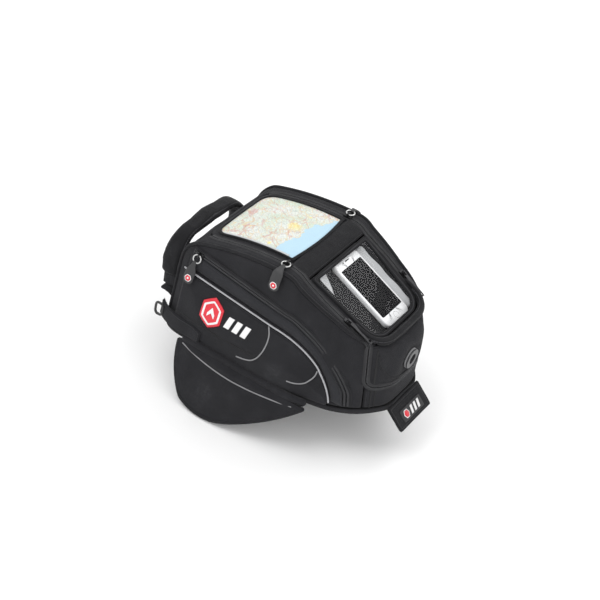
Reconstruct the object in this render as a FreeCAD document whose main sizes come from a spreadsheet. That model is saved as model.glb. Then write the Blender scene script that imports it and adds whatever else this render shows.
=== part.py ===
"""Motorcycle tank bag: a zipped main bag with a map lid, a phone pouch, two
side pockets, a carry handle and magnet flaps.

Millimetres.  X points rearward, Y to the rider's right and Z up.  The origin
is the middle of the base's underside, where the bag sits on the tank.
"""
import FreeCAD
import Part
import math
import os
import Sketcher
from FreeCAD import Placement, Rotation, Vector

doc = FreeCAD.newDocument("tank_bag")
sheet = doc.addObject("Spreadsheet::Sheet", "Sizes")

DIMENSIONS = {
    # main form, side view
    "front_run": 167, "rear_run": 168, "front_top": 108,
    "brow_back": 23, "brow_top": 152, "crest_run": 4, "crest_top": 178,
    "pouch_run": 22, "pouch_top": 168.5, "pouch_slope": 25, "pouch_span": 126,
    "slope_span": 140, "nose_top": 86,
    # main form, seen from above
    "half_width": 116, "side_bow": 2, "tail_half_width": 54,
    "lean": 22, "lean_top": 180,
    # cloth and boards
    "wall": 4, "base_pad": 8, "binding": 1.5, "board": 1.5, "trim": 1.2,
    # lid
    "lid_back": 21, "lid_half_width": 78, "lid_narrowing": 14, "lid_corner": 24,
    "lid_cut": 44, "zip_gap": 0.8, "zip_tape": 6,
    "map_back": 12, "map_rear": 12, "map_margin": 10, "map_border": 8,
    "map_corner": 12,
    "map_sheet": 0.5, "map_pane": 0.8,
    # pouch
    "tray_margin": 20, "tray_depth": 15, "tray_wall": 1.5,
    "cover_thick": 3, "cover_margin": 7, "cover_taper": 0.06, "pane_border": 8,
    "roll_radius": 6.5, "seat": 0.3,
    "phone_length": 118, "phone_width": 59, "phone_thick": 8.5,
    "phone_offset": 16,
    # side pockets
    "pocket_depth": 8, "pocket_back": 17, "pocket_top": 112,
    "pocket_foot": 10, "pocket_tail": 104, "gusset_depth": 4,
    # flaps
    "flap_back": 38, "flap_rear": 84, "flap_drop": 87, "flap_thick": 5,
    "flap_hem": 5, "flap_clear": 1, "flap_axis_z": 7, "flap_hang": 24,
    "magnet_radius": 11, "magnet_thick": 2.4,
    # handle
    "handle_reach": 21, "handle_foot": 44, "handle_rise": 90,
    "handle_inset": 28, "handle_band": 34, "handle_thick": 13,
    "handle_lean": 2, "handle_bend": 49,
    # rear tongue
    "tongue_width": 85, "tongue_length": 38, "tongue_thick": 3.5,
    "tongue_drop": 42,
    # front tabs
    "tab_length": 74, "tab_height": 24, "tab_thick": 3,
    # zip sliders
    "slider_length": 12, "slider_width": 7,
    "ring_radius": 6, "ring_wire": 1.1, "tag_length": 30, "tag_width": 7,
    "tag_thick": 2.4,
}


class Size:
    """A number together with the sheet expression that it comes from."""

    def __init__(self, value, text):
        self.value = value
        self.text = text

    def join(self, other, mark, value, turned=False):
        text = other.text if isinstance(other, Size) else repr(other)
        left, right = (text, self.text) if turned else (self.text, text)
        return Size(value, "(%s %s %s)" % (left, mark, right))

    def __add__(self, other):
        return self.join(other, "+", self.value + number(other))

    def __radd__(self, other):
        return self.join(other, "+", number(other) + self.value, True)

    def __sub__(self, other):
        return self.join(other, "-", self.value - number(other))

    def __rsub__(self, other):
        return self.join(other, "-", number(other) - self.value, True)

    def __mul__(self, other):
        return self.join(other, "*", self.value * number(other))

    def __rmul__(self, other):
        return self.join(other, "*", number(other) * self.value, True)

    def __truediv__(self, other):
        return self.join(other, "/", self.value / number(other))

    def __neg__(self):
        return Size(-self.value, "(0 - %s)" % self.text)


def number(item):
    return item.value if isinstance(item, Size) else item


def cosine(angle):
    return Size(math.cos(math.radians(angle.value)), "cos(%s * 1 deg)" % angle.text)


def sine(angle):
    return Size(math.sin(math.radians(angle.value)), "sin(%s * 1 deg)" % angle.text)


class Sheet:
    """Reads as sizes.name and gives each cell as a Size."""

    def __init__(self, table):
        for row, (alias, value) in enumerate(table.items(), 1):
            sheet.set("A%d" % row, alias)
            sheet.set("B%d" % row, str(value))
            sheet.setAlias("B%d" % row, alias)
            setattr(self, alias, Size(value, "Sizes.%s" % alias))


s = Sheet(DIMENSIONS)
doc.recompute()

# Places that follow the sizes above.
s.brow_run = s.front_run - s.brow_back
s.lid_front = s.front_run - s.lid_back
s.lid_tail_half_width = s.lid_half_width - s.lid_narrowing
s.map_front = s.lid_front - s.map_back
s.map_half_width = s.lid_half_width - s.map_margin
s.tray_half_width = s.lid_half_width - s.tray_margin
s.cover_half_width = s.lid_half_width - s.cover_margin
s.pocket_front = s.front_run - s.pocket_back
s.flap_front = s.front_run - s.flap_back
s.flap_axis_y = s.half_width + s.side_bow + s.pocket_depth + s.flap_clear
s.handle_x = s.front_run + s.handle_reach
s.handle_half_width = s.half_width - s.handle_inset
nodes = []


def bind(thing, prop, item):
    if isinstance(item, Size):
        thing.setExpression(prop, item.text)
    elif "." not in prop:
        setattr(thing, prop, item)
    else:
        thing.setExpression(prop, repr(item))


def place(thing, where=(0, 0, 0), axis=(0, 0, 1), angle=0):
    thing.Placement = Placement(Vector(*[number(c) for c in where]),
                                Rotation(Vector(*axis), number(angle)))
    for letter, item in zip("xyz", where):
        if isinstance(item, Size):
            thing.setExpression("Placement.Base.%s" % letter, item.text)
    if isinstance(angle, Size):
        thing.setExpression("Placement.Rotation.Angle", angle.text)
    return thing


def node(thing, name):
    thing.Label = name
    nodes.append(thing)
    return thing


def box(length, width, height, where=(0, 0, 0), axis=(0, 0, 1), angle=0):
    thing = doc.addObject("Part::Box", "box")
    bind(thing, "Length", length)
    bind(thing, "Width", width)
    bind(thing, "Height", height)
    return place(thing, where, axis, angle)


def cylinder(radius, height, where=(0, 0, 0), axis=(0, 0, 1), angle=0):
    thing = doc.addObject("Part::Cylinder", "cylinder")
    bind(thing, "Radius", radius)
    bind(thing, "Height", height)
    return place(thing, where, axis, angle)


def cut(base, tool):
    thing = doc.addObject("Part::Cut", "cut")
    thing.Base = base
    thing.Tool = tool
    return thing


def common(base, tool):
    thing = doc.addObject("Part::Common", "common")
    thing.Base = base
    thing.Tool = tool
    return thing


def fuse(*things):
    thing = doc.addObject("Part::MultiFuse", "fuse")
    thing.Shapes = list(things)
    return thing


def group(*things):
    thing = doc.addObject("Part::Compound", "group")
    thing.Links = list(things)
    return thing


def mirror(source):
    """The same piece on the rider's right."""
    thing = doc.addObject("Part::Mirroring", "mirror")
    thing.Source = source
    thing.Normal = Vector(0, 1, 0)
    return thing


# Sketch planes: side view, view from above and view from the front.
SIDE = Rotation(Vector(1, 0, 0), 90)
ABOVE = Rotation()
FRONT = Rotation(0.5, 0.5, 0.5, 0.5)


def outline(plane, start, steps, height=0):
    """A closed sketch: each step is an end point, or a middle and an end point."""
    sketch = doc.addObject("Sketcher::SketchObject", "outline")
    sketch.Placement = Placement(Vector(0, 0, number(height)), plane)
    if isinstance(height, Size):
        sketch.setExpression("Placement.Base.z", height.text)

    def vector(point):
        return Vector(number(point[0]), number(point[1]), 0)

    def pin(geometry, corner, point):
        for kind, item in zip(("DistanceX", "DistanceY"), point):
            rule = sketch.addConstraint(
                Sketcher.Constraint(kind, -1, 1, geometry, corner, number(item)))
            if isinstance(item, Size):
                sketch.setExpression("Constraints[%d]" % rule, item.text)

    ends = []
    here = start
    for step in steps:
        there = step[-1]
        if len(step) == 1:
            edge = sketch.addGeometry(Part.LineSegment(vector(here), vector(there)), False)
            first, last = 1, 2
        else:
            arc = Part.Arc(vector(here), vector(step[0]), vector(there))
            edge = sketch.addGeometry(arc, False)
            began = sketch.getPoint(edge, 1).distanceToPoint(vector(here)) < 1e-6
            first, last = (1, 2) if began else (2, 1)
            middle = sketch.addGeometry(Part.Point(vector(step[0])), True)
            pin(middle, 1, step[0])
            sketch.addConstraint(Sketcher.Constraint("PointOnObject", middle, 1, edge))
        pin(edge, last, there)
        ends.append((edge, first, last))
        here = there
    for (edge, _, last), (follower, first, _) in zip(ends, ends[1:] + ends[:1]):
        sketch.addConstraint(Sketcher.Constraint("Coincident", edge, last, follower, first))
    return sketch


def prism(sketch, direction, forward, backward=0):
    thing = doc.addObject("Part::Extrusion", "prism")
    thing.Base = sketch
    thing.DirMode = "Custom"
    thing.Dir = Vector(*direction)
    thing.Solid = True
    bind(thing, "LengthFwd", forward)
    bind(thing, "LengthRev", backward)
    return thing


REACH = 260     # longer than any part of the bag, for cutting tools


# ---------------------------------------------------------------- main form

def side_form(grow, floor=0):
    """The bag's side view, grown outward by a cloth thickness, across its width."""
    down_x = cosine(s.pouch_slope)
    down_z = sine(s.pouch_slope)
    front = -(s.front_run + grow)
    heel_x = s.pouch_run + s.slope_span * down_x
    heel_z = s.pouch_top - s.slope_span * down_z
    crest = (-s.crest_run + 0 * grow, s.crest_top + grow)
    sketch = outline(SIDE, (front, floor), [
        ((front, s.front_top),),
        ((-(s.front_run - 6.5) - 0.87 * grow, s.front_top + 26 + 0.5 * grow),
         (-s.brow_run - 0.45 * grow, s.brow_top + 0.89 * grow)),
        ((-(s.brow_run + s.crest_run) / 2 - 0.17 * grow,
          s.brow_top + 0.74 * (s.crest_top - s.brow_top) + 0.98 * grow), crest),
        ((s.pouch_run - 9 + 0.25 * grow, s.pouch_top + 6.4 + 0.97 * grow),
         (s.pouch_run + down_z * grow, s.pouch_top + down_x * grow)),
        ((heel_x + down_z * grow, heel_z + down_x * grow),),
        ((heel_x + 11.1 + 0.82 * grow, heel_z - 9.3 + 0.57 * grow),
         (s.rear_run - 3 + grow, s.nose_top + 0.1 * grow)),
        ((s.rear_run + grow, floor),),
        ((front, floor),),
    ])
    return prism(sketch, (0, 1, 0), REACH / 2, REACH / 2)


def plan_form(grow, floor=0, ceiling=None):
    """The bag seen from above, leaning inward as it rises."""
    top = s.lean_top if ceiling is None else ceiling
    sections = []
    for height in (floor, top):
        inward = s.lean * height / s.lean_top
        round_y = s.half_width - 46 - inward
        wide = s.half_width + grow - inward
        late = s.half_width - 10 + grow - inward
        tail = s.tail_half_width + 0.75 * grow - 0.6 * inward
        side = [
            (-(s.front_run + 19 + grow), round_y),
            (-(s.front_run + 5.5 + 0.7 * grow), s.half_width - 13.5 + 0.7 * grow - inward),
            (-(s.front_run - 27) + 0 * grow, wide),
            (0, wide + s.side_bow),
            (42, 0.32 * wide + 0.68 * late + 5.6),
            (80, late),
            (s.rear_run - 40 + 0.8 * grow - 0.2 * inward,
             0.58 * late + 0.46 * tail - 0.23 * grow),
            (s.rear_run - 10 + 0.85 * grow - 0.4 * inward, tail),
        ]
        nose = (s.rear_run + 8 + grow - 0.4 * inward, 0)
        other = [(x, -y) for x, y in side]
        sections.append(outline(ABOVE, other[0], [
            (side[0],),
            (side[1], side[2]),
            (side[3],),
            (side[4], side[5]),
            (side[6], side[7]),
            (nose, other[7]),
            (other[6], other[5]),
            (other[4], other[3]),
            (other[2],),
            (other[1], other[0]),
        ], height))
    thing = doc.addObject("Part::Loft", "plan_form")
    thing.Sections = sections
    thing.Solid = True
    thing.Ruled = True
    return thing


def slab(low, high):
    """Everything between two heights."""
    return box(2 * REACH, 2 * REACH, high - low, (-REACH, -REACH, low))


def side_slab(side):
    """Everything on one side of the middle plane."""
    return box(2 * REACH, REACH, 2 * REACH, (-REACH, -REACH if side < 0 else 0, -REACH))


outer_side = side_form(0)
outer_plan = plan_form(0)
outer_form = common(outer_side, outer_plan)
inner_side = side_form(-s.wall, s.base_pad)
inner_plan = plan_form(-s.wall)
rim = cut(outer_form, inner_plan)
skin = cut(common(outer_form, inner_plan), inner_side)
above_base = slab(s.base_pad, REACH + 0 * s.wall)


# ---------------------------------------------------------------- base

def base_pieces():
    pad = common(outer_form, slab(0 * s.wall, s.base_pad))
    node(pad, "base_panel")
    grown = common(side_form(s.binding), plan_form(s.binding))
    band = common(cut(grown, outer_form), slab(0 * s.wall, s.base_pad))
    node(band, "base_binding")
    inset = s.wall + 4
    board = common(common(side_form(-inset), plan_form(-inset)),
                   slab(s.base_pad, s.base_pad + s.board))
    node(board, "base_board")


base_pieces()


# ---------------------------------------------------------------- lid cut

def lid_prism(grow, floor):
    """The zip line seen from above, raised from the height of its rear run."""
    front = -s.lid_front - grow
    wide = s.lid_half_width + grow
    tail = s.lid_tail_half_width + grow
    bend = s.lid_corner
    sketch = outline(ABOVE, (front, -(wide - bend)), [
        ((front, wide - bend),),
        ((front + 0.293 * bend, wide - 0.293 * bend), (front + bend, wide)),
        ((60, wide),),
        ((s.rear_run + 30, tail),),
        ((s.rear_run + 30, -tail),),
        ((60, -wide),),
        ((front + bend, -wide),),
        ((front + 0.293 * bend, -wide + 0.293 * bend), (front, -(wide - bend))),
    ], floor)
    return prism(sketch, (0, 0, 1), REACH)


lid_inside = lid_prism(0 * s.wall, s.lid_cut)
lid_outside = lid_prism(s.zip_gap, s.lid_cut - s.zip_gap)
full_shell = cut(outer_form, common(inner_side, inner_plan))
lid_skin = common(full_shell, lid_inside)
fixed_skin = cut(common(skin, above_base), lid_outside)


# ---------------------------------------------------------------- walls

def wall_pieces():
    standing = cut(common(rim, above_base), lid_outside)
    for side, name in ((-1, "left"), (1, "right")):
        node(common(standing, side_slab(side)), "side_wall_%s" % name)
    front_zone = box(REACH, 2 * REACH, REACH, (-(s.lid_front - 6 + REACH), -REACH, 0))
    node(common(fixed_skin, front_zone), "front_wall")
    behind = cut(fixed_skin, front_zone)
    rear_zone = box(REACH, 2 * REACH, s.lid_cut - s.zip_gap, (100, -REACH, 0))
    node(common(behind, rear_zone), "rear_lip")
    node(cut(behind, rear_zone), "side_decks")


wall_pieces()


def layer(low, high):
    """A cloth layer that follows the side view, between two growths."""
    return cut(side_form(high), side_form(low))


def side_layer(low, high):
    """A cloth layer that follows the plan on the rider's left."""
    return common(cut(plan_form(high), plan_form(low)), side_slab(-1))


def both_sides(thing, name):
    """One node on each side of the bag."""
    node(thing, "%s_left" % name)
    node(mirror(thing), "%s_right" % name)


def pair(thing, name):
    """The same piece on both sides, kept as one node of separate solids."""
    node(group(thing, mirror(thing)), name)


# ---------------------------------------------------------------- side pockets

def pocket_top(rise):
    """The piped top edge of a side pocket, as the points of its two runs."""
    return [(-s.pocket_front, s.pocket_top + rise),
            (10, s.pocket_top - 14 + rise),
            (72, s.pocket_top - 40 + rise * 0.9),
            (s.pocket_tail + rise * 0.5, s.pocket_foot + 8)]


def pocket_strip(low, high):
    """A side-view strip along the pocket's top edge."""
    under = pocket_top(low)
    over = pocket_top(high)
    sketch = outline(SIDE, under[0], [
        (under[1],), (under[2], under[3]),
        (over[3],), (over[2], over[1]), (over[0],), (under[0],),
    ])
    return prism(sketch, (0, -1, 0), REACH)


def pocket_zip_line(rise):
    """The pocket's zip: a straight run, then a fall towards the tail."""
    return [(-s.pocket_front + 4, s.pocket_top + 29 + rise),
            (28 + 0.1 * rise, s.pocket_top + 8 + rise),
            (82 + 0.8 * rise, s.pocket_top - 24 + 0.8 * rise),
            (s.pocket_tail + 18 + rise, s.pocket_foot + 24)]


def zip_strip(low, high):
    under = pocket_zip_line(low)
    over = pocket_zip_line(high)
    sketch = outline(SIDE, under[0], [
        (under[1],), (under[2], under[3]),
        (over[3],), (over[2], over[1]), (over[0],), (under[0],),
    ])
    return prism(sketch, (0, -1, 0), REACH)


def pocket_pieces():
    edge = pocket_top(-2)
    panel = outline(SIDE, (-s.pocket_front, s.pocket_foot), [
        (edge[0],), (edge[1],), (edge[2], edge[3]), ((s.pocket_tail - 1, s.pocket_foot),),
        ((-s.pocket_front, s.pocket_foot),),
    ])
    pair(common(side_layer(0 * s.wall, s.pocket_depth), prism(panel, (0, -1, 0), REACH)),
         "pocket_panels")
    pair(common(side_layer(0 * s.wall, s.pocket_depth + s.trim), pocket_strip(-2, 2)),
         "pocket_piping")
    low = pocket_top(2)
    high = pocket_zip_line(-4)
    gusset = outline(SIDE, low[0], [
        (low[1],), (low[2], low[3]),
        (high[3],), (high[2], high[1]), (high[0],), (low[0],),
    ])
    pair(common(side_layer(0 * s.wall, s.gusset_depth), prism(gusset, (0, -1, 0), REACH)),
         "pocket_gussets")
    pair(common(side_layer(0 * s.wall, s.gusset_depth - s.trim), zip_strip(-4, 4)),
         "pocket_zips")


pocket_pieces()


# ---------------------------------------------------------------- lid

def lid_plan(front, rear, half_width, arch):
    """A flat piece of the lid with round front corners and an arched rear edge."""
    bend = s.map_corner
    sketch = outline(ABOVE, (-front, -half_width + bend), [
        ((-front, half_width - bend),),
        ((-front + 0.293 * bend, half_width - 0.293 * bend), (-front + bend, half_width)),
        ((-rear, half_width),),
        ((-rear + arch, 0), (-rear, -half_width)),
        ((-front + bend, -half_width),),
        ((-front + 0.293 * bend, -half_width + 0.293 * bend), (-front, -half_width + bend)),
    ])
    return prism(sketch, (0, 0, 1), REACH)


def lid_pieces():
    on_slope = pouch_box(-1, s.pouch_span + 1, s.tray_half_width, -30, 12)
    panel = cut(lid_skin, on_slope)
    nose_zone = box(REACH, 2 * REACH, REACH + 0 * s.wall, (s.pouch_run + 60, -REACH, 0))
    band_zone = box(s.pouch_run + 62 + s.map_rear - 2, 2 * REACH, REACH,
                    (-(s.map_rear - 2), -REACH, 0))
    node(cut(cut(panel, nose_zone), band_zone), "lid_panel")
    node(common(cut(panel, nose_zone), band_zone), "lid_band")
    port_hole = port_disc(PORT_RADIUS, 40, s.rear_run - 25)
    node(cut(common(panel, nose_zone), port_hole), "rear_face")
    board = lid_plan(s.map_front - 4, s.map_rear + 6, s.map_half_width, 4)
    node(common(layer(-(s.wall + s.board), -s.wall), board), "lid_board")
    node(cable_port(), "cable_port")


def port_disc(radius, length, start):
    return cylinder(radius + 0 * s.wall, length, (start, 0, PORT_HEIGHT), (0, 1, 0), 90)


def cable_port():
    """A turned rubber grommet: a barrel through the rear face with a flange outside."""
    inside = s.rear_run - 3 - s.wall - 2
    barrel = port_disc(PORT_RADIUS, 11 + 0 * s.wall, inside)
    flange = port_disc(PORT_RADIUS + 3, 1.8 + 0 * s.wall, inside + 9.2)
    return cut(fuse(barrel, flange), port_disc(PORT_BORE, 60, inside - 20))


PORT_RADIUS = 12
PORT_BORE = 8
PORT_HEIGHT = 72


def pouch_point(along, across, up):
    """A place in the pouch's own frame: down the slope, across and off its face."""
    down_x = cosine(s.pouch_slope)
    down_z = sine(s.pouch_slope)
    return (s.pouch_run + down_x * along + down_z * up, across,
            s.pouch_top - down_z * along + down_x * up)


def pouch_plate(start, stop, inset, low, high):
    """A plate in the pouch's frame that narrows down the slope like its cover."""
    def half(along):
        return s.cover_half_width - inset - s.cover_taper * along

    sketch = outline(ABOVE, (start, -half(start)), [
        ((start, half(start)),), ((stop, half(stop)),), ((stop, -half(stop)),),
        ((start, -half(start)),)])
    plate = group(prism(sketch, (0, 0, 1), high, -low))
    return place(plate, pouch_point(0 * s.wall, 0, 0), (0, 1, 0), s.pouch_slope)


def pouch_box(start, stop, half_width, low, high, middle=0):
    return box(stop - start, 2 * half_width, high - low,
               pouch_point(start, middle - half_width, low), (0, 1, 0), s.pouch_slope)


lid_pieces()


def map_pieces():
    sheet_zone = lid_plan(s.map_front - 3, s.map_rear + 3, s.map_half_width - 3, 4)
    pane_zone = lid_plan(s.map_front, s.map_rear, s.map_half_width, 6)
    hole_zone = lid_plan(s.map_front - s.map_border, s.map_rear + s.map_border,
                         s.map_half_width - s.map_border, 6)
    node(common(layer(0 * s.wall, s.map_sheet), sheet_zone), "map_sheet")
    pane = common(layer(s.map_sheet, s.map_sheet + s.map_pane), pane_zone)
    node(pane, "map_window")
    frame_layer = layer(s.map_sheet + s.map_pane, s.map_sheet + s.map_pane + s.trim)
    node(common(frame_layer, cut(pane_zone, hole_zone)), "map_frame")


map_pieces()


def main_zip_pieces():
    tape = layer(0 * s.wall, s.trim)
    inner_rim = cut(lid_inside, lid_prism(-s.zip_tape, s.lid_cut + s.zip_tape))
    behind_hinge = box(2 * REACH, 2 * REACH, REACH, (-(s.lid_front - 8), -REACH, 0))
    tape = common(common(tape, behind_hinge), outer_plan)
    node(common(tape, inner_rim), "main_zip_lid")
    outer_rim = cut(lid_prism(s.zip_gap + s.zip_tape, s.lid_cut - s.zip_gap - s.zip_tape), lid_outside)
    node(common(tape, outer_rim), "main_zip_deck")


main_zip_pieces()


# ---------------------------------------------------------------- phone pouch

def pouch_pieces():
    shell = pouch_box(0, s.pouch_span, s.tray_half_width, -s.tray_depth, 0)
    hollow = pouch_box(s.tray_wall, s.pouch_span - s.tray_wall, s.tray_half_width - s.tray_wall,
                       -(s.tray_depth - s.tray_wall), 5)
    node(cut(shell, hollow), "pouch_tray")
    node(pouch_box((s.pouch_span - s.phone_length) / 2, (s.pouch_span + s.phone_length) / 2,
                   s.phone_width / 2, -(s.tray_depth - s.tray_wall),
                   -(s.tray_depth - s.tray_wall) + s.phone_thick, s.phone_offset), "phone")
    border = s.pane_border
    plate = pouch_plate(1 + 0 * s.wall, s.pouch_span + 2, 0, s.seat, s.seat + s.cover_thick)
    opening = (border, s.pouch_span + 2 - border, border)
    node(cut(plate, pouch_plate(*opening, -1 + 0 * s.wall, 10 + 0 * s.wall)), "pouch_frame")
    middle = s.seat + s.cover_thick / 2
    node(pouch_plate(*opening, middle - s.map_pane / 2, middle + s.map_pane / 2), "pouch_window")
    half = s.cover_half_width - s.cover_taper * s.pouch_span - 3
    roll = cylinder(s.roll_radius, 2 * half,
                    pouch_point(s.pouch_span + 2 + s.roll_radius, half,
                                s.seat + s.roll_radius), (1, 0, 0), 90)
    node(roll, "pouch_roll")


pouch_pieces()


# ---------------------------------------------------------------- magnet flaps

def flap_form(inset, half_thick):
    """The flap's outline in side view, drawn flat below its root line."""
    front = -s.flap_front + inset
    rear = s.flap_rear - 1.3 * inset
    low = -s.flap_drop + inset
    shape = outline(SIDE, (front, -inset), [
        ((rear, -inset),),
        ((s.flap_rear - 58 - 0.8 * inset, 0.59 * low), (s.flap_rear - 103, 0.9 * low)),
        ((-s.flap_front + 62, low), (-s.flap_front + 33 + 0.5 * inset, 0.89 * low)),
        ((front + 13, 0.53 * low), (front, -inset)),
    ])
    return prism(shape, (0, 1, 0), half_thick, half_thick)


def flap_pieces():
    """The flap is hung at its angle from the root line beside the base."""
    leaf = flap_form(0 * s.wall, s.flap_thick / 2)
    core = flap_form(s.flap_hem, s.flap_thick)
    front = -s.flap_front
    reach = s.flap_drop
    magnets = [cylinder(s.magnet_radius, s.magnet_thick,
                        (front + 40 + step * 40, s.magnet_thick / 2, -0.5 * reach), (1, 0, 0), 90)
               for step in range(3)]
    store = group(*magnets)
    edge = cut(leaf, core)
    body = cut(common(leaf, core), store)
    hang = [(body, "flap"), (edge, "flap_binding"), (store, "flap_magnets")]
    for thing, name in hang:
        hung = place(group(thing), (0, -s.flap_axis_y, s.flap_axis_z), (1, 0, 0), -s.flap_hang)
        both_sides(hung, name)
    strip = box(s.flap_front + s.flap_rear, 40, s.base_pad - 1.5,
                (-s.flap_front, -(s.flap_axis_y - s.flap_thick / 2 - 0.3), 3))
    pair(cut(strip, plan_form(s.binding)), "flap_hems")


flap_pieces()


# ---------------------------------------------------------------- carry handle

def arch(inset):
    """The handle's front view: up a leg, round a shoulder, over the crown and down."""
    wide = s.handle_half_width - inset
    bend = s.handle_bend - inset
    spring = s.handle_rise - 1.076 * s.handle_bend
    return [(-wide, 0 * inset), (-wide, spring),
            (-wide + 0.231 * bend, spring + 0.639 * bend),
            (-wide + 0.816 * bend, spring + 0.983 * bend),
            (0, s.handle_rise - inset),
            (wide - 0.816 * bend, spring + 0.983 * bend),
            (wide - 0.231 * bend, spring + 0.639 * bend),
            (wide, spring), (wide, 0 * inset)]


def handle_pieces():
    big = arch(0 * s.wall)
    small = arch(s.handle_thick)
    shape = outline(FRONT, big[0], [
        (big[1],), (big[2], big[3]), (big[4], big[5]), (big[6], big[7]), (big[8],),
        (small[8],), (small[7],), (small[6], small[5]), (small[4], small[3]),
        (small[2], small[1]), (small[0],), (big[0],),
    ])
    band = prism(shape, (1, 0, 0), s.handle_band / 2, s.handle_band / 2)
    sleeve_zone = slab(18 + 0 * s.wall, REACH + 0 * s.wall)
    tail_zone = slab(0 * s.wall, 18 + 0 * s.wall)
    tail_core = group(*[box(22, 4, 19, (-11, y, 0)) for y in (
        -s.handle_half_width + s.handle_thick / 2 - 2, s.handle_half_width - s.handle_thick / 2 - 2)])
    sleeve = common(band, sleeve_zone)
    tails = common(tail_core, tail_zone)
    for thing, name in ((sleeve, "handle_sleeve"), (tails, "handle_webbing")):
        place(thing, (-s.handle_x, 0, s.handle_foot), (0, 1, 0), -s.handle_lean)
        node(thing, name)
    anchors = []
    for side in (-1, 1):
        middle = side * (s.handle_half_width - s.handle_thick / 2)
        arm = box(s.handle_x - s.front_run + 11, 18, 10,
                  (-(s.handle_x + 11), middle - 9, s.handle_foot - 10.4))
        patch = box(3, 26, 34, (-(s.front_run + 3), middle - 13, s.handle_foot - 30))
        anchors.append(fuse(arm, patch))
    node(group(*anchors), "handle_anchors")


handle_pieces()


# ---------------------------------------------------------------- tongue, tabs

def tongue_pieces():
    """A short tongue with a magnet, hung from the rear edge of the base."""
    axis = (s.rear_run + s.binding + s.tongue_thick / 2 + 0.4, 0, 4)
    half = s.tongue_width / 2
    leaf = fuse(box(s.tongue_length, s.tongue_width, s.tongue_thick,
                    (0, -half, -s.tongue_thick / 2)),
                cylinder(s.tongue_thick / 2, s.tongue_width, (0, half, 0), (1, 0, 0), 90))
    magnet = cylinder(s.magnet_radius, s.tongue_thick - 1.5,
                      (s.tongue_length - s.magnet_radius - 8, 0, -(s.tongue_thick - 1.5) / 2))
    label = box(s.tongue_length - 16, s.tongue_width - 30, 0.8,
                (9, -(half - 15), s.tongue_thick / 2))
    for thing, name in ((cut(leaf, magnet), "rear_tongue"), (magnet, "tongue_magnet"),
                        (label, "tongue_label")):
        carrier = group(thing)
        place(carrier, axis, (0, 1, 0), s.tongue_drop)
        node(carrier, name)


tongue_pieces()


def tab_pieces():
    """A cloth tab on each front corner, ending in a webbing loop for a strap."""
    low = s.pocket_foot + 3
    start = -(s.front_run + 6)
    tab = outline(SIDE, (start, low), [
        ((start, low + s.tab_height),),
        ((start + s.tab_length, low + s.tab_height),),
        ((start + s.tab_length, low),),
        ((start, low),),
    ])
    cloth = common(side_layer(s.pocket_depth, s.pocket_depth + s.tab_thick),
                   prism(tab, (0, -1, 0), REACH))
    pair(cloth, "front_tabs")
    reach = s.half_width + 2
    ring = box(16, 4, s.tab_height, (start - 13, -reach, low))
    gap = box(8, 20, s.tab_height - 8, (start - 9, -reach - 8, low + 4))
    pair(cut(cut(ring, gap), cloth), "front_loops")


tab_pieces()


# ---------------------------------------------------------------- badge

def badge_pieces():
    """A plain rubber badge with three slanted bars on each pocket."""
    badge_x = -90
    badge_z = 70
    face = s.pocket_depth
    six = [(badge_x + 19 * math.cos(math.radians(60 * turn)),
            badge_z + 23 * math.sin(math.radians(60 * turn))) for turn in range(6)]
    badge = prism(outline(SIDE, six[0], [(point,) for point in six[1:] + six[:1]]),
                  (0, -1, 0), REACH)
    pair(common(side_layer(face, face + 1.6), badge), "badges")
    bars = []
    for step in range(3):
        left = badge_x + 23 + 14 * step
        bars.append(prism(outline(SIDE, (left, badge_z - 9), [
            ((left + 5, badge_z + 8),), ((left + 14, badge_z + 8),),
            ((left + 9, badge_z - 9),), ((left, badge_z - 9),)]), (0, -1, 0), REACH))
    pair(common(side_layer(face, face + 0.8), group(*bars)), "badge_bars")


badge_pieces()


# ---------------------------------------------------------------- zip sliders

PLATE = 2           # height of a slider's plate
BRIDGE = 3.2        # room under its bridge
PIVOT = PLATE + BRIDGE / 2


def slider_body(run, breadth):
    """A slider's plate with a bridge; the puller hangs off towards local +X."""
    plate = box(run, breadth, PLATE, (-run / 2, -breadth / 2, 0))
    posts = [box(1.2, 2.4, BRIDGE, (x, -1.2, PLATE)) for x in (-3.2, 2)]
    bar = box(6.4, 2.4, 1.2, (-3.2, -1.2, PLATE + BRIDGE))
    return fuse(plate, bar, *posts)


def ring_and_tag(bend):
    """A wire ring through the bridge, with a rubber tag moulded on its far side."""
    ring = doc.addObject("Part::Torus", "ring")
    bind(ring, "Radius1", s.ring_radius)
    bind(ring, "Radius2", s.ring_wire)
    place(ring, (s.ring_radius, 0, PIVOT))
    root = 2 * s.ring_radius - 2.2
    half = s.tag_thick / 2 + 0.3
    mid = PIVOT + 0 * s.wall
    tip = s.tag_length
    if bend:
        shape = outline(SIDE, (root, mid + half), [
            ((root + 9, mid + half - 0.3),), ((root + 12.5, mid - 1),),
            ((root + 21, mid - tip + 2),), ((root + 18.6, mid - tip + 1.3),),
            ((root + 9, mid - half - 0.6),), ((root, mid - half),), ((root, mid + half),)])
    else:
        shape = outline(SIDE, (root, mid + half), [
            ((root + 4, mid + half),), ((root + tip, mid + half - 0.6),),
            ((root + tip, mid - half + 0.6),), ((root + 4, mid - half),),
            ((root, mid - half),), ((root, mid + half),)])
    tag = cut(prism(shape, (0, 1, 0), s.tag_width / 2, s.tag_width / 2), ring)
    return ring, tag


def settle(thing, where, turn, tilt=0):
    """Tilts a puller about its bridge, then sets it on its slider's seat."""
    hinge = Vector(0, 0, PIVOT)
    swing = Placement(hinge, Rotation(Vector(0, 1, 0), tilt)) * Placement(-hinge, Rotation())
    seat = Placement(Vector(*[number(c) for c in where]), turn)
    carrier = group(thing)
    carrier.Placement = seat * swing
    if tilt == 0:
        for letter, item in zip("xyz", where):
            carrier.setExpression("Placement.Base.%s" % letter, item.text)
    return carrier


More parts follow.
